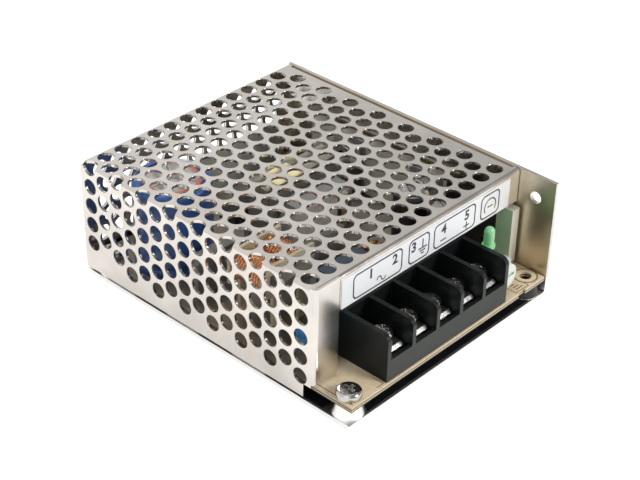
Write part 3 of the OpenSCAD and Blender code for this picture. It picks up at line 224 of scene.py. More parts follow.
def moulding(name, shade, pale, worn, smooth, rough, radius=0.2 * MM, peel=1500.0, depth=0.02 * MM):
    """Moulded plastic or lacquer: mottled colour, paler edges that are partly wear and partly a painted
    highlight, and a fine skin.
    """
    material, tree, shader = start_material(name)
    skin = use(tree, moulded_skin, Scale=peel)
    rim = use(tree, edge_catch, Radius=radius)
    mottle = tint(tree, drift(tree, skin["Dust"], start=0.35), shade, pale)
    # Paler edges: partly wear, partly a painted highlight on the edges that the bevel finds.
    colour = tint(tree, reckon(tree, "MULTIPLY", rim["Edge"], 0.7), mottle, worn)
    fill(tree, shader, Base_Color=colour, Roughness=drift(tree, skin["Dust"], smooth, rough))
    roughen(tree, shader, skin["Peel"], depth, 0.25, rim["Normal"])
    return material


film_finish = moulding("black_film", (0.005, 0.005, 0.006, 1), (0.012, 0.012, 0.013, 1),
                       (0.02, 0.02, 0.02, 1), 0.45, 0.6, 0.05 * MM, 120.0, 0.2 * MM)
film_finish.node_tree.nodes["Principled BSDF"].inputs["Specular IOR Level"].default_value = 0.1
dress(film_finish, "insulating_film")

# Circuit board: a tan paper laminate, punched and printed, standing on the four bosses.
# Its cut edge shows the plies and its underside is lacquered dark green. Inside the cover it is painted
# dark grey-brown as painted shade, darkest among the middle parts.
board_low, board_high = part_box("circuit_board")
ply_mid = board_low.z + 0.85 * MM
ply_half = 0.2 * MM
lacquer_top = board_low.z + 0.30 * MM
inside_shade_edge = (-37.0 * MM, -33.0 * MM)
middle_shade_x = (-20.0 * MM, -2.0 * MM)
middle_shade_y = (-8.0 * MM, 4.0 * MM)
laminate, tree, shader = start_material("tan_laminate")
warp = use(tree, rolled_grain, Stretch=(1.0, 0.1, 1.0), Scale=2400.0)
weft = use(tree, rolled_grain, Stretch=(0.1, 1.0, 1.0), Scale=2400.0)
fibre = reckon(tree, "MAXIMUM", warp["Lines"], weft["Lines"])
paper = tint(tree, span(tree, fibre, 0.42, 0.72, 0.0, 1.0), (0.57, 0.46, 0.31, 1), (0.74, 0.63, 0.47, 1))
stain = reckon(tree, "MULTIPLY", drift(tree, warp["Cloud"], start=0.35), 0.45)
paper = tint(tree, stain, paper, (0.60, 0.47, 0.29, 1))
place = place_of(tree)
ply = reckon(tree, "COMPARE", place["Z"], ply_mid, ply_half)
under = span(tree, place["Z"], lacquer_top, lacquer_top + hair, 1.0, 0.0)
# Painted shade: behind the cover's front the board turns dark grey-brown, darker still in a patch among the
# middle parts.
painted_inside_shade = span(tree, place["Y"], *inside_shade_edge, 0.0, 0.85)
painted_middle_shade = reckon(tree, "MULTIPLY", span(tree, place["X"], *middle_shade_x, 1.0, 0.0),
              span(tree, place["Y"], *middle_shade_y, 1.0, 0.0))
shaded_board = tint(tree, painted_middle_shade, (0.19, 0.175, 0.155, 1), (0.045, 0.043, 0.040, 1))
paper = tint(tree, painted_inside_shade, tint(tree, ply, paper, (0.13, 0.085, 0.045, 1)), shaded_board)
fill(tree, shader, Base_Color=tint(tree, under, paper, (0.010, 0.022, 0.013, 1)),
     Roughness=span(tree, fibre, 0.4, 0.7, 0.36, 0.55))
roughen(tree, shader, fibre, 0.02 * MM, 0.3)
dress(laminate, "circuit_board")


def slab(work, low, high):
    """A thin bar between two corners."""
    made = bmesh.ops.create_cube(work, size=1.0)
    size = Vector(high) - Vector(low)
    middle = (Vector(high) + Vector(low)) / 2
    for vert in made["verts"]:
        vert.co = Vector((vert.co.x * size.x, vert.co.y * size.y, vert.co.z * size.z)) + middle


def loop_frame(work, outer, inner, lift):
    """A closed flat frame between two loops of points, raised by a vector."""
    rings = [[work.verts.new(Vector(p) + shift) for p in loop] for shift in (Vector((0, 0, 0)), lift)
             for loop in (outer, inner)]
    count = len(outer)
    for i in range(count):
        j = (i + 1) % count
        for a, b in ((0, 1), (1, 3), (3, 2), (2, 0)):
            work.faces.new((rings[a][i], rings[a][j], rings[b][j], rings[b][i]))


def arc(middle, radius, start, stop, steps):
    """Points on an arc in the XY plane, in degrees."""
    turn = [math.radians(start + (stop - start) * k / steps) for k in range(steps + 1)]
    return [(middle[0] + radius * math.cos(a), middle[1] + radius * math.sin(a), middle[2]) for a in turn]


def ring_of(middle, radius, steps):
    """Points round a whole circle in the XY plane."""
    return arc(middle, radius, 0, 360 * (steps - 1) / steps, steps - 1)


def piece(name, work, material, smooth=None):
    """Turns a worked shape into a finished object with its finish."""
    bmesh.ops.recalc_face_normals(work, faces=work.faces)
    mesh = bpy.data.meshes.new(name)
    work.to_mesh(mesh)
    work.free()
    mesh.materials.append(material)
    if smooth is not None:
        mesh.shade_smooth()
        mesh.set_sharp_from_angle(angle=math.radians(smooth))
    made = bpy.data.objects.new(name, mesh)
    bpy.context.scene.collection.objects.link(made)
    return made


def fix(made, body, slot, *nodes):
    """Fixes a piece to its body and hides the nodes that it stands for; its slot is not used."""
    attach(made, body)
    if nodes:
        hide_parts(*nodes)


def ink(name, grain, dark, pale, smooth, rough):
    """Printing ink with a broken skin."""
    material, tree, shader = start_material(name)
    skin = use(tree, moulded_skin, Scale=grain)
    fill(tree, shader, Base_Color=tint(tree, skin["Peel"], dark, pale),
         Roughness=drift(tree, skin["Dust"], smooth, rough))
    return material


def grained(name, stretch, scale, dull, bright, smooth, rough, metal=0.0, relief=0.0):
    """A finish whose colour and polish follow one fine grain, with the grain's relief where it has any."""
    material, tree, shader = start_material(name)
    lines = use(tree, rolled_grain, Stretch=stretch, Scale=scale)["Lines"]
    fill(tree, shader, Base_Color=tint(tree, lines, dull, bright),
         Roughness=drift(tree, lines, smooth, rough), Metallic=metal)
    if relief:
        roughen(tree, shader, lines, 0.01 * MM, relief)
    return material


print_t = 0.02 * MM
line_in = 0.9 * MM
line_end = 0.6 * MM
line_w = 0.3 * MM
print_bars = ((-29.6, -48.4, -27.0, -48.2), (-27.2, -48.4, -27.0, -45.0), (27.6, -48.6, 33.2, -48.35),
              (27.6, -48.6, 27.85, -43.4), (32.95, -48.6, 33.2, -45.4), (29.0, -47.6, 31.8, -47.2),
              (29.0, -46.6, 31.2, -46.2), (29.0, -45.6, 30.6, -45.2))
ink_brown = ink("brown_print", 5200.0, (0.16, 0.095, 0.045, 1), (0.26, 0.17, 0.085, 1), 0.45, 0.7)
work = bmesh.new()
top = board_high.z
x = board_low.x + line_in
slab(work, (x, board_low.y + line_end, top - print_t), (x + line_w, board_high.y - line_end, top + print_t))
for x0, y0, x1, y1 in print_bars:
    slab(work, (x0 * MM, y0 * MM, top - print_t), (x1 * MM, y1 * MM, top + print_t))
fix(piece("board_print", work, ink_brown), "case", "board_tan")

hole_in = 3.4 * MM
hole_front = 4.0 * MM
ring_steps = 48
ring_pale = grained("pale_ring", (1.0, 1.0, 1.0), 900.0, (0.60, 0.50, 0.31, 1), (0.74, 0.65, 0.46, 1),
                    0.25, 0.45)
middle = (board_high.x - hole_in, board_low.y + hole_front, top - print_t)
for name, far, near, finish in (("ring_edge", 3.5, 3.05, ink_brown), ("hole_ring", 3.05, 1.75, ring_pale)):
    work = bmesh.new()
    loop_frame(work, ring_of(middle, far * MM, ring_steps), ring_of(middle, near * MM, ring_steps),
               Vector((0, 0, 3 * print_t)))
    fix(piece(name, work, finish), "case", "board_tan")

# Inner parts on the board: dipped, moulded and sleeved parts that show through the perforation.
# The big can is the bulk capacitor: its sleeve is shrunk over the rim and printed with a red ring,
# and its bare top is scored as a vent.


def sleeved_can(name, node, sleeve, stripe, facing, bare_share, ring=None):
    """A capacitor can: shrunk sleeve with one pale stripe, bare scored top inside the sleeve's rim."""
    low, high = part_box(node)
    axis = (low + high) / 2
    radius = (high.x - low.x) / 2
    bare_out = radius * bare_share
    ring_out = radius * 0.73
    blur = radius * 0.02
    stripe_half = 0.30
    rim_z = -0.6 * MM
    score_w = 0.1 * MM
    material, tree, shader = start_material(name)
    skin = use(tree, moulded_skin, Scale=900.0)
    where = put(tree, "ShaderNodeTexCoord").outputs["Object"]
    where = put(tree, "ShaderNodeMapping", Vector=where, Location=(-axis.x, -axis.y, -high.z))
    part = put(tree, "ShaderNodeSeparateXYZ", Vector=where.outputs["Vector"]).outputs
    out = reckon(tree, "SQRT", reckon(tree, "ADD", reckon(tree, "MULTIPLY", part["X"], part["X"]),
                                      reckon(tree, "MULTIPLY", part["Y"], part["Y"])))
    angle = reckon(tree, "ARCTAN2", part["Y"], part["X"])
    off = reckon(tree, "WRAP", reckon(tree, "SUBTRACT", angle, facing), math.pi, -math.pi)
    band = span(tree, reckon(tree, "ABSOLUTE", off), stripe_half, stripe_half + 0.02, 1.0, 0.0)
    film = tint(tree, drift(tree, skin["Dust"], start=0.35), sleeve,
                tuple(min(1.0, 1.5 * c) for c in sleeve[:3]) + (1,))
    wrap = tint(tree, band, film, stripe)
    inside = span(tree, out, bare_out, bare_out + blur, 1.0, 0.0)
    upper = span(tree, part["Z"], rim_z, rim_z + 0.1 * MM, 0.0, 1.0)
    metal = reckon(tree, "MULTIPLY", inside, upper)
    if ring is not None:
        printed = reckon(tree, "MULTIPLY", upper, span(tree, out, ring_out, ring_out + blur, 1.0, 0.0))
        wrap = tint(tree, printed, wrap, ring)
    score_at = reckon(tree, "PINGPONG", reckon(tree, "ADD", angle, math.pi), math.pi / 3)
    score = reckon(tree, "MULTIPLY", out, reckon(tree, "SINE", score_at))
    groove = reckon(tree, "MULTIPLY", metal, span(tree, score, score_w, 3 * score_w, 1.0, 0.0))
    bare = tint(tree, groove, (0.72, 0.72, 0.71, 1), (0.25, 0.25, 0.25, 1))
    fill(tree, shader, Base_Color=tint(tree, metal, wrap, bare), Metallic=metal,
         Roughness=drift(tree, skin["Dust"], 0.24, 0.40))
    cut = reckon(tree, "SUBTRACT", skin["Peel"], reckon(tree, "MULTIPLY", groove, 4.0))
    roughen(tree, shader, cut, 0.03 * MM, 0.3)
    dress(material, node)


dark_sleeve = (0.014, 0.018, 0.020, 1)
gold_stripe = (0.50, 0.44, 0.26, 1)
sleeved_can("navy_sleeve", "bulk_capacitor", (0.028, 0.078, 0.235, 1), (0.52, 0.54, 0.60, 1), 0.4, 0.63,
            (0.50, 0.13, 0.07, 1))
sleeved_can("dark_sleeve_1", "output_capacitor_1", dark_sleeve, gold_stripe, -1.0, 0.77)
sleeved_can("dark_sleeve_2", "output_capacitor_2", dark_sleeve, gold_stripe, -1.0, 0.77)
sleeved_can("grey_sleeve", "small_capacitor", (0.10, 0.10, 0.095, 1), gold_stripe, -2.0, 0.77)

tinned_lead = (0.62, 0.61, 0.58, 1)
coated_parts = (
    ("blue_dip", "varistor", (0.010, 0.16, 0.44, 1), (0.016, 0.23, 0.55, 1), 3.2, 0.18, 0.32),
    ("dark_dip", "thermistor", (0.018, 0.020, 0.018, 1), (0.035, 0.036, 0.032, 1), 1.4, 0.3, 0.5),
    ("grey_epoxy", "bridge_rectifier", (0.17, 0.166, 0.16, 1), (0.24, 0.235, 0.225, 1), 3.0, 0.35, 0.5),
    ("white_epoxy", "optocoupler", (0.62, 0.62, 0.60, 1), (0.72, 0.72, 0.70, 1), 0.55, 0.4, 0.55),
    ("black_epoxy", "controller_chip", (0.014, 0.014, 0.015, 1), (0.03, 0.03, 0.03, 1), 0.55, 0.4, 0.55))
for name, node, shade, pale, lead_h, smooth, rough in coated_parts:
    lead_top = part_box(node)[0].z + lead_h * MM
    coated, tree, shader = start_material(name)
    skin = use(tree, moulded_skin, Scale=1100.0)
    rim = use(tree, edge_catch, Radius=0.3 * MM)
    bare = span(tree, place_of(tree)["Z"], lead_top - 0.02 * MM, lead_top, 1.0, 0.0)
    coat = tint(tree, drift(tree, skin["Dust"], start=0.35), shade, pale)
    fill(tree, shader, Base_Color=tint(tree, bare, coat, tinned_lead), Metallic=bare,
         Roughness=drift(tree, skin["Dust"], smooth, rough))
    roughen(tree, shader, skin["Peel"], 0.04 * MM, 0.3, rim["Normal"])
    dress(coated, node)
film_cap_finish = moulding("blue_case", (0.050, 0.080, 0.110, 1), (0.080, 0.115, 0.150, 1),
                           (0.12, 0.16, 0.21, 1), 0.35, 0.5, 0.3 * MM)
dress(film_cap_finish, "suppression_capacitor")

fuse_low, fuse_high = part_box("fuse")
cap_from = 4.49 * MM
fuse_finish, tree, shader = start_material("capped_fuse")
mark = use(tree, rolled_grain, Stretch=(0.1, 1.0, 1.0), Scale=1800.0)
off = reckon(tree, "SUBTRACT", place_of(tree)["X"], (fuse_low.x + fuse_high.x) / 2)
cap = span(tree, reckon(tree, "ABSOLUTE", off), cap_from, cap_from + 0.01 * MM, 0.0, 1.0)
ceramic = tint(tree, mark["Cloud"], (0.60, 0.54, 0.42, 1), (0.74, 0.69, 0.58, 1))
fill(tree, shader, Base_Color=tint(tree, cap, ceramic, (0.66, 0.64, 0.60, 1)), Metallic=cap,
     Roughness=drift(tree, mark["Lines"], 0.22, 0.4))
roughen(tree, shader, mark["Lines"], 0.02 * MM, 0.2)
dress(fuse_finish, "fuse")

# Line choke: a square ferrite ring carries two cream bobbins, each wound with one layer of enamelled wire.
# The windings follow a true helix, so they are made by a tree and take the place of the plain rings.
ferrite = moulding("ferrite", (0.12, 0.112, 0.099, 1), (0.19, 0.18, 0.16, 1), (0.25, 0.243, 0.225, 1),
                   0.35, 0.6, 0.2 * MM, 2600.0, 0.03 * MM)
dress(ferrite, "choke_core", "transformer_core")
bobbin_cream = moulding("cream_bobbin", (0.60, 0.50, 0.34, 1), (0.70, 0.61, 0.45, 1), (0.78, 0.72, 0.58, 1),
                        0.35, 0.5)
dress(bobbin_cream, "choke_bobbins")

copper, tree, shader = start_material("enamelled_copper")
lines = use(tree, rolled_grain, Stretch=(1.0, 1.0, 1.0), Scale=1100.0)["Lines"]
fill(tree, shader, Base_Color=tint(tree, drift(tree, lines), (0.52, 0.18, 0.065, 1), (0.88, 0.46, 0.21, 1)),
     Roughness=drift(tree, lines, 0.22, 0.38), Metallic=0.85, Coat_Weight=0.6)


def start_shape(name, inputs):
    """A geometry tree with named inputs and one output."""
    tree = bpy.data.node_groups.new(name, "GeometryNodeTree")
    for label, kind in inputs:
        tree.interface.new_socket(label, in_out="INPUT", socket_type="NodeSocket" + kind)
    tree.interface.new_socket("Geometry", in_out="OUTPUT", socket_type="NodeSocketGeometry")
    return tree, put(tree, "NodeGroupInput").outputs, put(tree, "NodeGroupOutput").inputs["Geometry"]


def sweep(tree, path, radius, sides, caps=False):
    """A round section swept along a path."""
    section = put(tree, "GeometryNodeCurvePrimitiveCircle", Resolution=sides, Radius=radius)
    swept = put(tree, "GeometryNodeCurveToMesh", Curve=path, Profile_Curve=section.outputs["Curve"],
                Fill_Caps=caps)
    return swept.outputs["Mesh"]


def end_shape(tree, instances, material, given):
    """Every tree ends the same way: real mesh, smooth faces, finish."""
    real = put(tree, "GeometryNodeRealizeInstances", Geometry=instances).outputs["Geometry"]
    smooth = put(tree, "GeometryNodeSetShadeSmooth", Geometry=real).outputs["Geometry"]
    finished = put(tree, "GeometryNodeSetMaterial", Geometry=smooth, Material=material)
    feed(tree, given, finished.outputs["Geometry"])


def plain_mesh(holder):
    """The mesh that an object has once its modifiers or its type are worked out."""
    bpy.context.scene.collection.objects.link(holder)
    bpy.context.view_layer.update()
    return bpy.data.meshes.new_from_object(holder.evaluated_get(bpy.context.evaluated_depsgraph_get()))


def grow(name, tree, place, **inputs):
    """Runs a tree once, keeps its mesh and moves the mesh to its place."""
    made = bpy.data.objects.new(name, bpy.data.meshes.new(name))
    run = made.modifiers.new("shape", "NODES")
    run.node_group = tree
    for socket in tree.interface.items_tree:
        if socket.in_out == "INPUT":
            run[socket.identifier] = inputs[socket.name.replace(" ", "_")]
    mesh = plain_mesh(made)
    made.modifiers.remove(run)
    mesh.transform(place)
    made.data = mesh
    return made


coils, asked, given = start_shape("wound_coils", [
    ("Coils", "Int"), ("Spacing", "Float"), ("Turns", "Float"), ("Radius", "Float"), ("Length", "Float"),
    ("Wire", "Float"), ("Finish", "Material")])
helix = put(coils, "GeometryNodeCurveSpiral", Resolution=24, Rotations=asked["Turns"],
            Start_Radius=asked["Radius"], End_Radius=asked["Radius"], Height=asked["Length"])
wire = sweep(coils, helix.outputs["Curve"], asked["Wire"], 8, True)
step = put(coils, "GeometryNodeInputIndex").outputs[0]
spot = put(coils, "ShaderNodeCombineXYZ", X=reckon(coils, "MULTIPLY", step, asked["Spacing"])).outputs[0]
spots = put(coils, "GeometryNodePoints", Count=asked["Coils"], Position=spot).outputs[0]
wound = put(coils, "GeometryNodeInstanceOnPoints", Points=spots, Instance=wire).outputs[0]
end_shape(coils, wound, asked["Finish"], given)

coil_low, coil_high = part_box("choke_windings")
coil_d = coil_high.z - coil_low.z
coil_wire = 0.43 * MM
coil_gap = coil_high.x - coil_low.x - coil_d
coil_run = coil_high.y - coil_low.y - 2 * coil_wire
along_y = Matrix.Translation((coil_low.x + coil_d / 2, coil_high.y - coil_wire, coil_low.z + coil_d / 2))
along_y = along_y @ Matrix.Rotation(math.radians(90), 4, "X")
fix(grow("choke_wire", coils, along_y, Coils=2, Spacing=coil_gap, Turns=11.0, Radius=coil_d / 2 - coil_wire,
         Length=coil_run, Wire=coil_wire, Finish=copper), "case", "copper_wire", "choke_windings")

# Transformer: two ferrite halves on a grey bobbin, the winding closed with pale polyester tape.
# One more turn of tape runs round the core and holds its halves together; it is yellow over one band of it.
bobbin_grey = moulding("grey_bobbin", (0.29, 0.293, 0.288, 1), (0.39, 0.39, 0.38, 1),
                       (0.48, 0.48, 0.467, 1), 0.35, 0.5)
dress(bobbin_grey, "transformer_bobbin")
yellow_band_mid = -4.0 * MM
yellow_band_half = 5.0 * MM
for name, node, dull, pale in (
        ("winding_tape", "transformer_winding", (0.46, 0.44, 0.38, 1), (0.62, 0.595, 0.52, 1)),
        ("core_tape", "transformer_tape", (0.17, 0.157, 0.118, 1), (0.26, 0.242, 0.192, 1))):
    tape, tree, shader = start_material(name)
    ply = use(tree, rolled_grain, Stretch=(0.15, 0.15, 1.0), Scale=900.0)
    lines = drift(tree, ply["Lines"])
    colour = tint(tree, lines, dull, pale)
    if name == "core_tape":
        patch = reckon(tree, "COMPARE", place_of(tree)["X"], yellow_band_mid, yellow_band_half)
        yellow = tint(tree, lines, (0.62, 0.54, 0.28, 1), (0.74, 0.67, 0.42, 1))
        colour = tint(tree, patch, colour, yellow)
    fill(tree, shader, Base_Color=colour, Roughness=drift(tree, ply["Cloud"], 0.25, 0.4))
    roughen(tree, shader, ply["Lines"], 0.05 * MM, 0.35)
    dress(tape, node)

# Output choke: a yellow-coated iron ring under a single layer of heavy enamelled wire.
# Each turn is one rounded loop, set round the ring by a tree; a gap is left between the two ends.
ring_coat = moulding("yellow_ring", (0.60, 0.40, 0.05, 1), (0.70, 0.50, 0.09, 1), (0.75, 0.60, 0.2, 1),
                     0.4, 0.55, 0.3 * MM)
dress(ring_coat, "output_choke_core")
loops, asked, given = start_shape("ring_winding", [
    ("Turns", "Int"), ("Start", "Float"), ("Sweep", "Float"), ("Radius", "Float"), ("Depth", "Float"),
    ("Height", "Float"), ("Corner", "Float"), ("Wire", "Float"), ("Finish", "Material")])
outline = put(loops, "GeometryNodeCurvePrimitiveQuadrilateral", Width=asked["Depth"],
              Height=asked["Height"]).outputs[0]
corner = put(loops, "GeometryNodeFilletCurve", {"mode": "POLY"}, Curve=outline, Count=4,
             Radius=asked["Corner"]).outputs[0]
turn = sweep(loops, corner, asked["Wire"], 8)
step = put(loops, "GeometryNodeInputIndex").outputs[0]
share = reckon(loops, "DIVIDE", step, reckon(loops, "SUBTRACT", asked["Turns"], 1.0))
angle = reckon(loops, "ADD", asked["Start"], reckon(loops, "MULTIPLY", share, asked["Sweep"]))
across = reckon(loops, "MULTIPLY", reckon(loops, "COSINE", angle), asked["Radius"])
along = reckon(loops, "MULTIPLY", reckon(loops, "SINE", angle), asked["Radius"])
spot = put(loops, "ShaderNodeCombineXYZ", X=across, Y=along).outputs[0]
spots = put(loops, "GeometryNodePoints", Count=asked["Turns"], Position=spot).outputs[0]
facing = put(loops, "ShaderNodeCombineXYZ", X=math.radians(90), Z=angle).outputs[0]
wound = put(loops, "GeometryNodeInstanceOnPoints", Points=spots, Instance=turn, Rotation=facing).outputs[0]
end_shape(loops, wound, asked["Finish"], given)

ring_low, ring_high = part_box("output_choke_winding")
core_low, core_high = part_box("output_choke_core")
ring_wire = 0.48 * MM
ring_corner = 0.8 * MM
ring_in = 2.5 * MM
ring_out = ring_high.x - core_high.x + (core_high.x - core_low.x) / 2
ring_mid = Matrix.Translation(((core_low.x + core_high.x) / 2, (core_low.y + core_high.y) / 2,
                               (core_low.z + core_high.z) / 2))
fix(grow("output_choke_wire", loops, ring_mid, Turns=15, Start=math.radians(-143), Sweep=math.radians(286),
         Radius=(ring_out + ring_in) / 2, Depth=ring_out - ring_in - 2 * ring_wire,
         Height=ring_high.z - ring_low.z - 2 * ring_wire, Corner=ring_corner, Wire=ring_wire,
         Finish=copper), "case", "copper_wire", "output_choke_winding")

# Board screws: three pan heads with a cross recess, nickel plated, driven into the bosses.
# The fourth boss is left without a screw.


def plated_part(name, stretch, scale, dull, bright, smooth, rough, radius, relief):
    """Plated metal: clouded colour, a fine grain and softened edges."""
    material, tree, shader = start_material(name)
    mark = use(tree, rolled_grain, Stretch=stretch, Scale=scale)
    rim = use(tree, edge_catch, Radius=radius)
    fill(tree, shader, Base_Color=tint(tree, drift(tree, mark["Cloud"]), dull, bright),
         Roughness=drift(tree, mark["Lines"], smooth, rough), Metallic=1.0)
    roughen(tree, shader, mark["Lines"], 0.01 * MM, relief, rim["Normal"])
    return material


nickel = plated_part("bright_nickel", (1.0, 1.0, 0.3), 1500.0, (0.459, 0.444, 0.414, 1),
                     (0.562, 0.548, 0.518, 1), 0.09, 0.17, 0.18 * MM, 0.15)
dress(nickel, "board_screws")

# Heat path: an extruded aluminium bar stands on the board against a soft grey pad on the chassis wall.
# Its left face is painted green at the front end as a painted glow from the lit indicator, a black band
# behind that is painted shade, and the two devices are screwed to it through thin insulators.
bar_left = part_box("heat_bar")[0].x
bar_shade_mid = -25.0 * MM
bar_shade_half = 8.9 * MM
led_glow_edge = (-33.0 * MM, -30.0 * MM)
extruded, tree, shader = start_material("extruded_aluminium")
lines = use(tree, rolled_grain, Stretch=(1.0, 0.03, 1.0), Scale=1800.0)["Lines"]
place = place_of(tree)
# Painted shade: a black, non-metallic band round the bar where it runs under the cover.
sleeve = reckon(tree, "COMPARE", place["Y"], bar_shade_mid, bar_shade_half)
# Painted glow: the front of the left face is tinted green for the indicator's light falling on it.
lacquer = reckon(tree, "MULTIPLY", span(tree, place["X"], bar_left + hair, bar_left + 2 * hair, 0.58, 0.0),
                 span(tree, place["Y"], *led_glow_edge, 1.0, 0.0))
bare = tint(tree, lines, (0.80, 0.79, 0.72, 1), (0.90, 0.89, 0.83, 1))
bare = tint(tree, lacquer, bare, (0.26, 0.62, 0.36, 1))
fill(tree, shader, Base_Color=tint(tree, sleeve, bare, (0.012, 0.013, 0.013, 1)),
     Metallic=span(tree, sleeve, 0.0, 1.0, 0.5, 0.0), Roughness=drift(tree, lines, 0.45, 0.58))
roughen(tree, shader, lines, 0.03 * MM, 0.3)
dress(extruded, "heat_bar")
pad_finish = moulding("grey_pad", (0.22, 0.23, 0.24, 1), (0.28, 0.29, 0.30, 1), (0.34, 0.34, 0.35, 1),
                      0.6, 0.8)
dress(pad_finish, "thermal_pad", "device_insulators")
dress(nickel, "device_screws")

tab_h = 6.40 * MM
leg_h = 1.6 * MM
for name, node in (("black_device_1", "switching_transistor"), ("black_device_2", "output_diode")):
    low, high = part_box(node)
    device, tree, shader = start_material(name)
    skin = use(tree, moulded_skin, Scale=1500.0)
    rim = use(tree, edge_catch, Radius=0.2 * MM)
    height = place_of(tree)["Z"]
    tab = span(tree, height, high.z - tab_h - 0.01 * MM, high.z - tab_h, 0.0, 1.0)
    leg = span(tree, height, low.z + leg_h - 0.01 * MM, low.z + leg_h, 1.0, 0.0)
    bare = reckon(tree, "MAXIMUM", tab, leg)
    body = tint(tree, skin["Dust"], (0.06, 0.058, 0.055, 1), (0.11, 0.107, 0.10, 1))
    fill(tree, shader, Base_Color=tint(tree, bare, body, tinned_lead), Metallic=bare,
         Roughness=drift(tree, skin["Dust"], 0.3, 0.45))
    roughen(tree, shader, skin["Peel"], 0.02 * MM, 0.25, rim["Normal"])
    dress(device, node)

# Terminal block: five bays between six barriers, moulded in black glass-filled plastic, grained in front;
# the front face is also painted paler as painted light, and the edges carry a painted highlight.
# It is soldered to the board by the tails of its tinned contacts.
# Each way has a tinned clamp under a spring washer and a nickel-plated screw.
front_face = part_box("terminal_block")[0].y + 0.03 * MM
block_black, tree, shader = start_material("black_block")
skin = use(tree, moulded_skin, Scale=2200.0)
rim = use(tree, edge_catch, Radius=0.2 * MM)
# Painted light: the front face is several times paler than the rest, as if lit from the front.
front = span(tree, place_of(tree)["Y"], front_face, front_face + hair, 1.0, 0.0)
shade = tint(tree, skin["Dust"], (0.0045, 0.0065, 0.0065, 1), (0.009, 0.012, 0.012, 1))
grain = tint(tree, skin["Dust"], (0.036, 0.039, 0.036, 1), (0.056, 0.059, 0.053, 1))
colour = tint(tree, front, shade, grain)
# Painted highlight: edges that the bevel finds are tinted grey.
edge = reckon(tree, "MULTIPLY", rim["Edge"], 0.45)
fill(tree, shader, Base_Color=tint(tree, edge, colour, (0.11, 0.11, 0.095, 1)),
     Roughness=span(tree, front, 0.0, 1.0, 0.36, 0.6), Specular_IOR_Level=0.22)
roughen(tree, shader, skin["Peel"], 0.02 * MM, 0.25, rim["Normal"])
dress(block_black, "terminal_block")
tinned = plated_part("tinned_contact", (1.0, 0.2, 1.0), 1600.0, (0.54, 0.53, 0.50, 1),
                     (0.68, 0.67, 0.64, 1), 0.22, 0.36, 0.15 * MM, 0.2)
spring_steel = grained("spring_steel", (1.0, 1.0, 0.2), 2200.0, (0.46, 0.45, 0.43, 1),
                       (0.62, 0.61, 0.58, 1), 0.2, 0.36, 1.0, 0.2)
dress(tinned, "terminal_contacts")
for way in range(1, 6):
    dress(tinned, "terminal_clamp_%d" % way)
    dress(spring_steel, "spring_washer_%d" % way)
    dress(nickel, "terminal_screw_%d" % way)

# Output adjuster: a grey moulded plate on the board carries a white rotor with a driver slot.
# The rotor turns about the plate's middle and faces the front.
trimmer_grey = moulding("grey_plate", (0.42, 0.46, 0.41, 1), (0.52, 0.56, 0.50, 1), (0.62, 0.66, 0.60, 1),
                        0.4, 0.6)
dress(trimmer_grey, "trimmer_base")
rotor_white = moulding("white_rotor", (0.62, 0.68, 0.62, 1), (0.72, 0.77, 0.71, 1), (0.78, 0.82, 0.77, 1),
                       0.35, 0.5)
dress(rotor_white, "trimmer_rotor")

# Indicator: a green lens with a collar, cast in epoxy round two plated leads that stand on the board.
# It is lit, and sheds a little green light on what stands round it.
led_low, led_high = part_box("indicator_led")
led_at = ((led_low.x + led_high.x) / 2, (led_low.y + led_high.y) / 2)
lens_z = led_low.z + 12.2 * MM
lens_r = 1.5 * MM
collar_r = lens_r + 0.4 * MM
collar_z = lens_z + 1.0 * MM
collar_edge = 0.15 * MM
dome_z = led_high.z - lens_r
lens_profile = [(0.0, lens_z), (collar_r - collar_edge, lens_z), (collar_r, lens_z + collar_edge),
                (collar_r, collar_z - collar_edge), (collar_r - collar_edge, collar_z), (lens_r, collar_z)]
lens_profile += [(lens_r * math.cos(math.radians(a)), dome_z + lens_r * math.sin(math.radians(a)))
                 for a in range(0, 90, 10)]
lens_profile += [(0.0, led_high.z)]


def lathe(work, profile, middle, steps):
    """Turns a profile of radius and height about an upright axis; its ends lie on the axis."""
    rows = []
    for radius, height in profile:
        at = (middle[0], middle[1], height)
        points = [at] if radius == 0.0 else ring_of(at, radius, steps)
        rows.append([work.verts.new(p) for p in points])
    for lower, upper in zip(rows, rows[1:]):
        for i in range(steps):
            corners = []
            for row, k in ((lower, i), (lower, i + 1), (upper, i + 1), (upper, i)):
                vert = row[k % len(row)]
                if vert not in corners:
                    corners.append(vert)
            work.faces.new(corners)


lens_green, tree, shader = start_material("green_lens")
skin = use(tree, moulded_skin, Scale=700.0)
shed = put(tree, "ShaderNodeLightPath").outputs["Is Diffuse Ray"]
fill(tree, shader, Base_Color=tint(tree, skin["Dust"], (0.16, 0.42, 0.20, 1), (0.30, 0.58, 0.33, 1)),
     Roughness=drift(tree, skin["Dust"], 0.08, 0.2), Coat_Weight=0.5,
     Emission_Color=tint(tree, skin["Dust"], (0.05, 0.30, 0.09, 1), (0.10, 0.42, 0.15, 1)),
     Emission_Strength=span(tree, shed, 0.0, 1.0, 0.25, 2.5))
work = bmesh.new()
lathe(work, lens_profile, led_at, 36)
fix(piece("indicator_lens", work, lens_green, 40), "case", "led_green", "indicator_led")
lead_off = 0.9 * MM
lead_half = 0.3 * MM
lead_in = 0.4 * MM
lead_edge = 0.06 * MM
work = bmesh.new()
for x in (led_at[0] - lead_off, led_at[0] + lead_off):
    slab(work, (x - lead_half, led_at[1] - lead_half, led_low.z),
         (x + lead_half, led_at[1] + lead_half, lens_z + lead_in))
bmesh.ops.bevel(work, geom=work.edges[:], offset=lead_edge, segments=1, affect="EDGES")
fix(piece("indicator_leads", work, tinned), "case", "contact_tin")

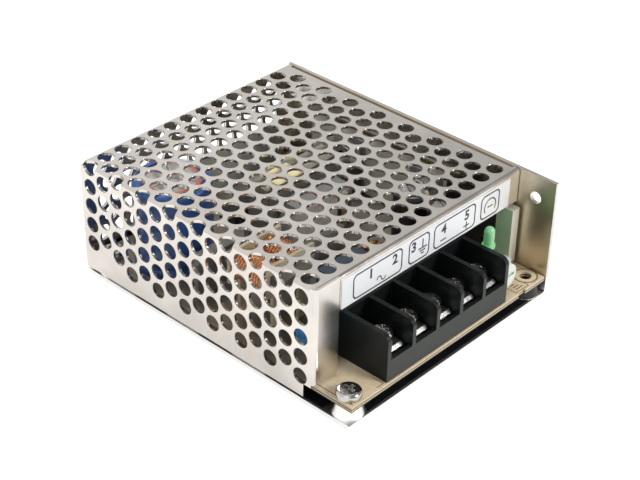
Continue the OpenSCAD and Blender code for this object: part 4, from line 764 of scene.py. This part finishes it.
# Cover: one perforated sheet of bright plated steel, folded down at both sides, the rear and the front lip.
# Its flange is screwed inside the chassis wall; each punched hole keeps a slightly rolled rim.
sheet_finish = plated_sheet("bright_plated_sheet", (0.60, 0.56, 0.515, 1), (0.72, 0.68, 0.63, 1),
                            0.17, 0.27)[0]
dress(sheet_finish, "cover_top", "cover_side", "cover_rear", "cover_lip", "cover_strip", "cover_flange")
rims, asked, given = start_shape("punched_rims", [
    ("Rows", "Int"), ("Columns", "Int"), ("Pitch", "Float"), ("Row Step", "Float"), ("Reach", "Float"),
    ("Short Row", "Int"), ("Hole", "Float"), ("Rim", "Float"), ("Finish", "Material")])
step = put(rims, "GeometryNodeInputIndex").outputs[0]
row = reckon(rims, "FLOOR", reckon(rims, "DIVIDE", reckon(rims, "ADD", step, 0.5), asked["Columns"]))
column = reckon(rims, "SUBTRACT", step, reckon(rims, "MULTIPLY", row, asked["Columns"]))
stagger = reckon(rims, "MULTIPLY", reckon(rims, "MODULO", row, 2.0), 0.5)
along = reckon(rims, "MULTIPLY", reckon(rims, "ADD", column, stagger), asked["Pitch"])
across = reckon(rims, "MULTIPLY", row, asked["Row Step"])
spot = put(rims, "ShaderNodeCombineXYZ", X=along, Y=across).outputs[0]
total = reckon(rims, "MULTIPLY", asked["Rows"], asked["Columns"])
spots = put(rims, "GeometryNodePoints", Count=total, Position=spot).outputs[0]
short = reckon(rims, "COMPARE", row, asked["Short Row"], 0.1)
reach = reckon(rims, "SUBTRACT", asked["Reach"], reckon(rims, "MULTIPLY", short, asked["Pitch"]))
beyond = reckon(rims, "GREATER_THAN", along, reach)
kept = put(rims, "GeometryNodeDeleteGeometry", Geometry=spots, Selection=beyond).outputs[0]
edge = put(rims, "GeometryNodeCurvePrimitiveCircle", Resolution=20, Radius=asked["Hole"]).outputs["Curve"]
rim_ring = sweep(rims, edge, asked["Rim"], 3)
rings = put(rims, "GeometryNodeInstanceOnPoints", Points=kept, Instance=rim_ring).outputs[0]
end_shape(rims, rings, asked["Finish"], given)

top_low, top_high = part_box("cover_top")
side_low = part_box("cover_side")[0]
rear_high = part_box("cover_rear")[1]
hole_pitch = 6.05 * MM
row_step = hole_pitch * math.sqrt(3) / 2
hole_r = 2.4 * MM
rim_r = 0.1 * MM
first_x = top_low.x + 3.1 * MM
first_y = top_low.y + 4.8 * MM
rear_x = first_x + hole_pitch / 2
rear_reach = rear_high.x - 3.0 * MM - rear_x
side_z = top_high.z - 3.85 * MM
rear_z = top_high.z - 4.6 * MM
on_top = Matrix.Translation((first_x, first_y, top_high.z - rim_r))
on_side = Matrix(((0, 0, 1, side_low.x + rim_r), (0, 1, 0, first_y), (-1, 0, 0, side_z), (0, 0, 0, 1)))
on_rear = Matrix(((1, 0, 0, rear_x), (0, 0, 1, rear_high.y - rim_r), (0, -1, 0, rear_z), (0, 0, 0, 1)))
for name, place, rows, columns, reach, short in (
        ("top_rims", on_top, 16, 13, 12.1 * hole_pitch, -1),
        ("side_rims", on_side, 16, 5, 4.1 * hole_pitch, 14),
        ("rear_rims", on_rear, 5, 13, rear_reach, -1)):
    fix(grow(name, rims, place, Rows=rows, Columns=columns, Reach=reach, Short_Row=short, Pitch=hole_pitch,
             Row_Step=row_step, Hole=hole_r, Rim=rim_r, Finish=sheet_finish), "case", "sheet_metal")

# Wall screws: countersunk heads flush in the chassis wall hold the cover's flange and the heat bar.
# They are the same bright nickel as the board screws.
dress(nickel, "wall_screws")

# Label: a silver polyester strip stuck on the lip above the terminals, printed in black.
# It carries framed numbers and plain signs for the five ways and the adjuster.
label_silver = grained("silver_label", (0.08, 1.0, 1.0), 2200.0, (0.70, 0.71, 0.73, 1),
                       (0.80, 0.81, 0.83, 1), 0.32, 0.45, 0.2, 0.2)
dress(label_silver, "label_strip")
ink_black = ink("black_print", 6000.0, (0.012, 0.012, 0.014, 1), (0.030, 0.030, 0.033, 1), 0.4, 0.6)
label_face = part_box("label_strip")[0].y
ink_sunk = -0.01
ink_proud = 0.02


def on_label(x, z, lift):
    """A point on the label's face or off it by a lift, all in millimetres."""
    return Vector((x * MM, label_face - lift * MM, z * MM))


def round_box(x0, z0, x1, z1, r):
    """Points round a box with round corners, on the label's face."""
    points = []
    for cx, cz, start in ((x1 - r, z1 - r, 0), (x0 + r, z1 - r, 90),
                          (x0 + r, z0 + r, 180), (x1 - r, z0 + r, 270)):
        for k in range(7):
            a = math.radians(start + 15 * k)
            points.append(on_label(cx + r * math.cos(a), cz + r * math.sin(a), ink_sunk))
    return points


def ink_bar(work, x0, z0, x1, z1):
    """A printed bar on the label's face."""
    slab(work, on_label(x0, z0, ink_proud), on_label(x1, z1, ink_sunk))


def ink_sign(work, sign, x, z, size):
    """A printed number, set as type and laid on the label's face."""
    type_set = bpy.data.curves.new("type_set", "FONT")
    type_set.body = sign
    type_set.size = size * MM
    type_set.align_x = "CENTER"
    type_set.align_y = "CENTER"
    type_set.extrude = 0.01 * MM
    type_set.offset = 0.034 * MM * size
    holder = bpy.data.objects.new("type_set", type_set)
    mesh = plain_mesh(holder)
    bpy.data.objects.remove(holder)
    bpy.data.curves.remove(type_set)
    mesh.transform(Matrix.Translation(on_label(x, z, 0.01)) @ Matrix.Rotation(math.radians(90), 4, "X"))
    work.from_mesh(mesh)
    bpy.data.meshes.remove(mesh)


def ink_arc(work, x, z, radius, width, start, stop, steps):
    """A printed arc on the label's face."""
    near, far = radius - width / 2, radius + width / 2
    for k in range(steps):
        a, b = (math.radians(start + (stop - start) * (k + s) / steps) for s in (0, 1))
        corners = [(near, a), (far, a), (far, b), (near, b)]
        lower, upper = ([work.verts.new(on_label(x + r * math.cos(t), z + r * math.sin(t), lift))
                         for r, t in corners] for lift in (ink_sunk, ink_proud))
        work.faces.new(lower)
        work.faces.new(upper)
        for i in range(4):
            j = (i + 1) % 4
            work.faces.new((lower[i], lower[j], upper[j], upper[i]))


frame_low = 26.6
frame_high = 34.0
frame_w = 0.45
frame_r = 1.6
frame_r_in = 1.2
number_z = 31.4
number_h = 4.0
wave_z = 28.4
wave_r = 0.8
wave_w = 0.35
earth_post = (-1.25, 30.1, -0.80, 32.6)
earth_x = -1.025
earth_half = 0.22
minus_and_plus = ((6.3, 28.1, 8.7, 28.5), (15.8, 28.1, 18.2, 28.5), (16.8, 27.1, 17.2, 29.5))
dial_x = 27.0
dial_z = 29.8
dial_r = 2.4
dial_w = 0.4
pointer = (25.9, 29.6, 28.1, 30.0)
work = bmesh.new()
for x0, x1 in ((-27.7, -9.0), (-6.6, 1.7), (3.4, 20.7), (22.9, 31.0)):
    loop_frame(work, round_box(x0, frame_low, x1, frame_high, frame_r),
               round_box(x0 + frame_w, frame_low + frame_w, x1 - frame_w, frame_high - frame_w, frame_r_in),
               Vector((0, -0.03 * MM, 0)))
for sign, x in (("1", -21.0), ("2", -11.9), ("3", -4.6), ("4", 7.5), ("5", 17.0)):
    ink_sign(work, sign, x, number_z, number_h)
for x, stop in ((-17.8, 0), (-16.2, 360)):
    ink_arc(work, x, wave_z, wave_r, wave_w, 180, stop, 10)
ink_bar(work, *earth_post)
for half, z in ((1.7, 29.9), (1.15, 29.1), (0.6, 28.3)):
    ink_bar(work, earth_x - half, z - earth_half, earth_x + half, z + earth_half)
for bar in minus_and_plus:
    ink_bar(work, *bar)
ink_arc(work, dial_x, dial_z, dial_r, dial_w, 215, -35, 20)
ink_bar(work, *pointer)
fix(piece("label_print", work, ink_black), "case", "label_silver")

# Shade sheet: a die-cut grey sheet with cropped corners, set inside the rear panel. It is put behind the
# live parts to cast shade into the panel's lower holes there.
grey_paper = moulding("grey_paper", (0.39, 0.39, 0.35, 1), (0.53, 0.525, 0.47, 1), (0.61, 0.61, 0.55, 1),
                      0.5, 0.65, 0.05 * MM, 300.0, 0.05 * MM)
shade_sheet_outline = ((-14.0, 2.4), (37.0, 2.4), (37.0, 17.3), (35.0, 19.3), (-12.0, 19.3), (-14.0, 17.3))
shade_sheet_faces = (48.45, 48.65)
work = bmesh.new()
near, far = [[work.verts.new((x * MM, y * MM, z * MM)) for x, z in shade_sheet_outline] for y in shade_sheet_faces]
work.faces.new(near)
work.faces.new(far)
for i in range(len(shade_sheet_outline)):
    j = (i + 1) % len(shade_sheet_outline)
    work.faces.new((near[i], near[j], far[j], far[i]))
fix(piece("rear_paper", work, grey_paper), "case", "film_black")

# Stage: a wide pale floor, a white surround, three soft lamps and the camera at the photograph's angle.
# The surround is plain white to the camera, falls off to one side in polished metal, and is dimmer
# as light; the floor has no glow of its own under the part.
floor_z = -0.02 * MM
floor_half = 6.0
under_x = 40.5 * MM
under_y = 49.0 * MM
floor_finish, tree, shader = start_material("pale_floor")
tree.nodes.remove(shader)
matt = put(tree, "ShaderNodeBsdfDiffuse", Color=(0.62, 0.62, 0.62, 1)).outputs[0]
place = place_of(tree)
aside = reckon(tree, "GREATER_THAN", reckon(tree, "ABSOLUTE", place["X"]), under_x)
clear = reckon(tree, "MAXIMUM", aside,
               reckon(tree, "GREATER_THAN", reckon(tree, "ABSOLUTE", place["Y"]), under_y))
ray = put(tree, "ShaderNodeLightPath").outputs
bright = reckon(tree, "MULTIPLY", clear, span(tree, ray["Is Camera Ray"], 0.0, 1.0, 0.55, 0.75))
glow = put(tree, "ShaderNodeEmission", Color=(1, 1, 1, 1), Strength=bright).outputs[0]
seen = reckon(tree, "MAXIMUM", reckon(tree, "MAXIMUM", ray["Is Camera Ray"], ray["Is Glossy Ray"]),
              ray["Is Transmission Ray"])
both = put(tree, "ShaderNodeAddShader")
feed(tree, both.inputs[0], matt)
feed(tree, both.inputs[1], glow)
pick = put(tree, "ShaderNodeMixShader", Fac=seen)
feed(tree, pick.inputs[1], matt)
feed(tree, pick.inputs[2], both.outputs[0])
feed(tree, tree.nodes["Material Output"].inputs["Surface"], pick.outputs[0])
work = bmesh.new()
bmesh.ops.create_grid(work, x_segments=2, y_segments=2, size=floor_half,
                      matrix=Matrix.Translation((0, 0, floor_z)))
floor = piece("floor", work, floor_finish)

room_light = 0.38
bright_side = (-0.7, 0.7, 0.0)
world = bpy.data.worlds.new("white_surround")
bpy.context.scene.world = world
world.use_nodes = True
tree = world.node_tree
ray = put(tree, "ShaderNodeLightPath").outputs
toward = put(tree, "ShaderNodeVectorMath", {"operation": "DOT_PRODUCT"})
feed(tree, toward.inputs[0], put(tree, "ShaderNodeTexCoord").outputs["Generated"])
feed(tree, toward.inputs[1], bright_side)
mirrored = span(tree, toward.outputs["Value"], -0.26, 0.04, 0.34, 0.98)
more = reckon(tree, "MULTIPLY", ray["Is Glossy Ray"], reckon(tree, "SUBTRACT", mirrored, room_light))
light = reckon(tree, "ADD", room_light, more)
seen = reckon(tree, "MAXIMUM", ray["Is Camera Ray"], ray["Is Transmission Ray"])
fill(tree, tree.nodes["Background"], Color=(1, 1, 1, 1), Strength=reckon(tree, "MAXIMUM", light, seen))

lit_point = Vector((0, 0, 0.02))


def lamp(name, place, size, power, glare=True):
    """A soft square lamp turned towards the part; one without glare isn't mirrored in the metal."""
    light = bpy.data.lights.new(name, "AREA")
    light.size = size
    light.energy = power
    holder = bpy.data.objects.new(name, light)
    holder.visible_glossy = glare
    holder.location = place
    holder.rotation_euler = (lit_point - Vector(place)).to_track_quat("-Z", "Y").to_euler()
    bpy.context.scene.collection.objects.link(holder)


lamp("lamp_above", (0.05, 0.30, 0.70), 0.4, 4.4, False)
lamp("lamp_left", (-0.60, -0.25, 0.45), 0.4, 0.5)
lamp("lamp_right", (0.26, -0.65, 0.42), 0.22, 4.5)

azimuth = math.radians(-47.779)
elevation = math.radians(33.537)
roll = math.radians(1.361)
aim = Vector((-3.765, -4.62, 18.0)) * MM
far_off = 432.65
back = Vector((math.sin(azimuth) * math.cos(elevation), -math.cos(azimuth) * math.cos(elevation),
               math.sin(elevation)))
level = Vector((math.cos(azimuth), math.sin(azimuth), 0))
upright = back.cross(level)
right = math.cos(roll) * level + math.sin(roll) * upright
up = math.cos(roll) * upright - math.sin(roll) * level
eye = aim + back * far_off * MM
view = bpy.data.cameras.new("photo_camera")
view.sensor_width = 36.0
view.lens = 89.93
view.clip_start = 0.01
holder = bpy.data.objects.new("photo_camera", view)
holder.matrix_world = Matrix(((right.x, up.x, back.x, eye.x), (right.y, up.y, back.y, eye.y),
                              (right.z, up.z, back.z, eye.z), (0, 0, 0, 1)))
bpy.context.scene.collection.objects.link(holder)
bpy.context.scene.camera = holder
bpy.context.scene.view_settings.view_transform = "Standard"
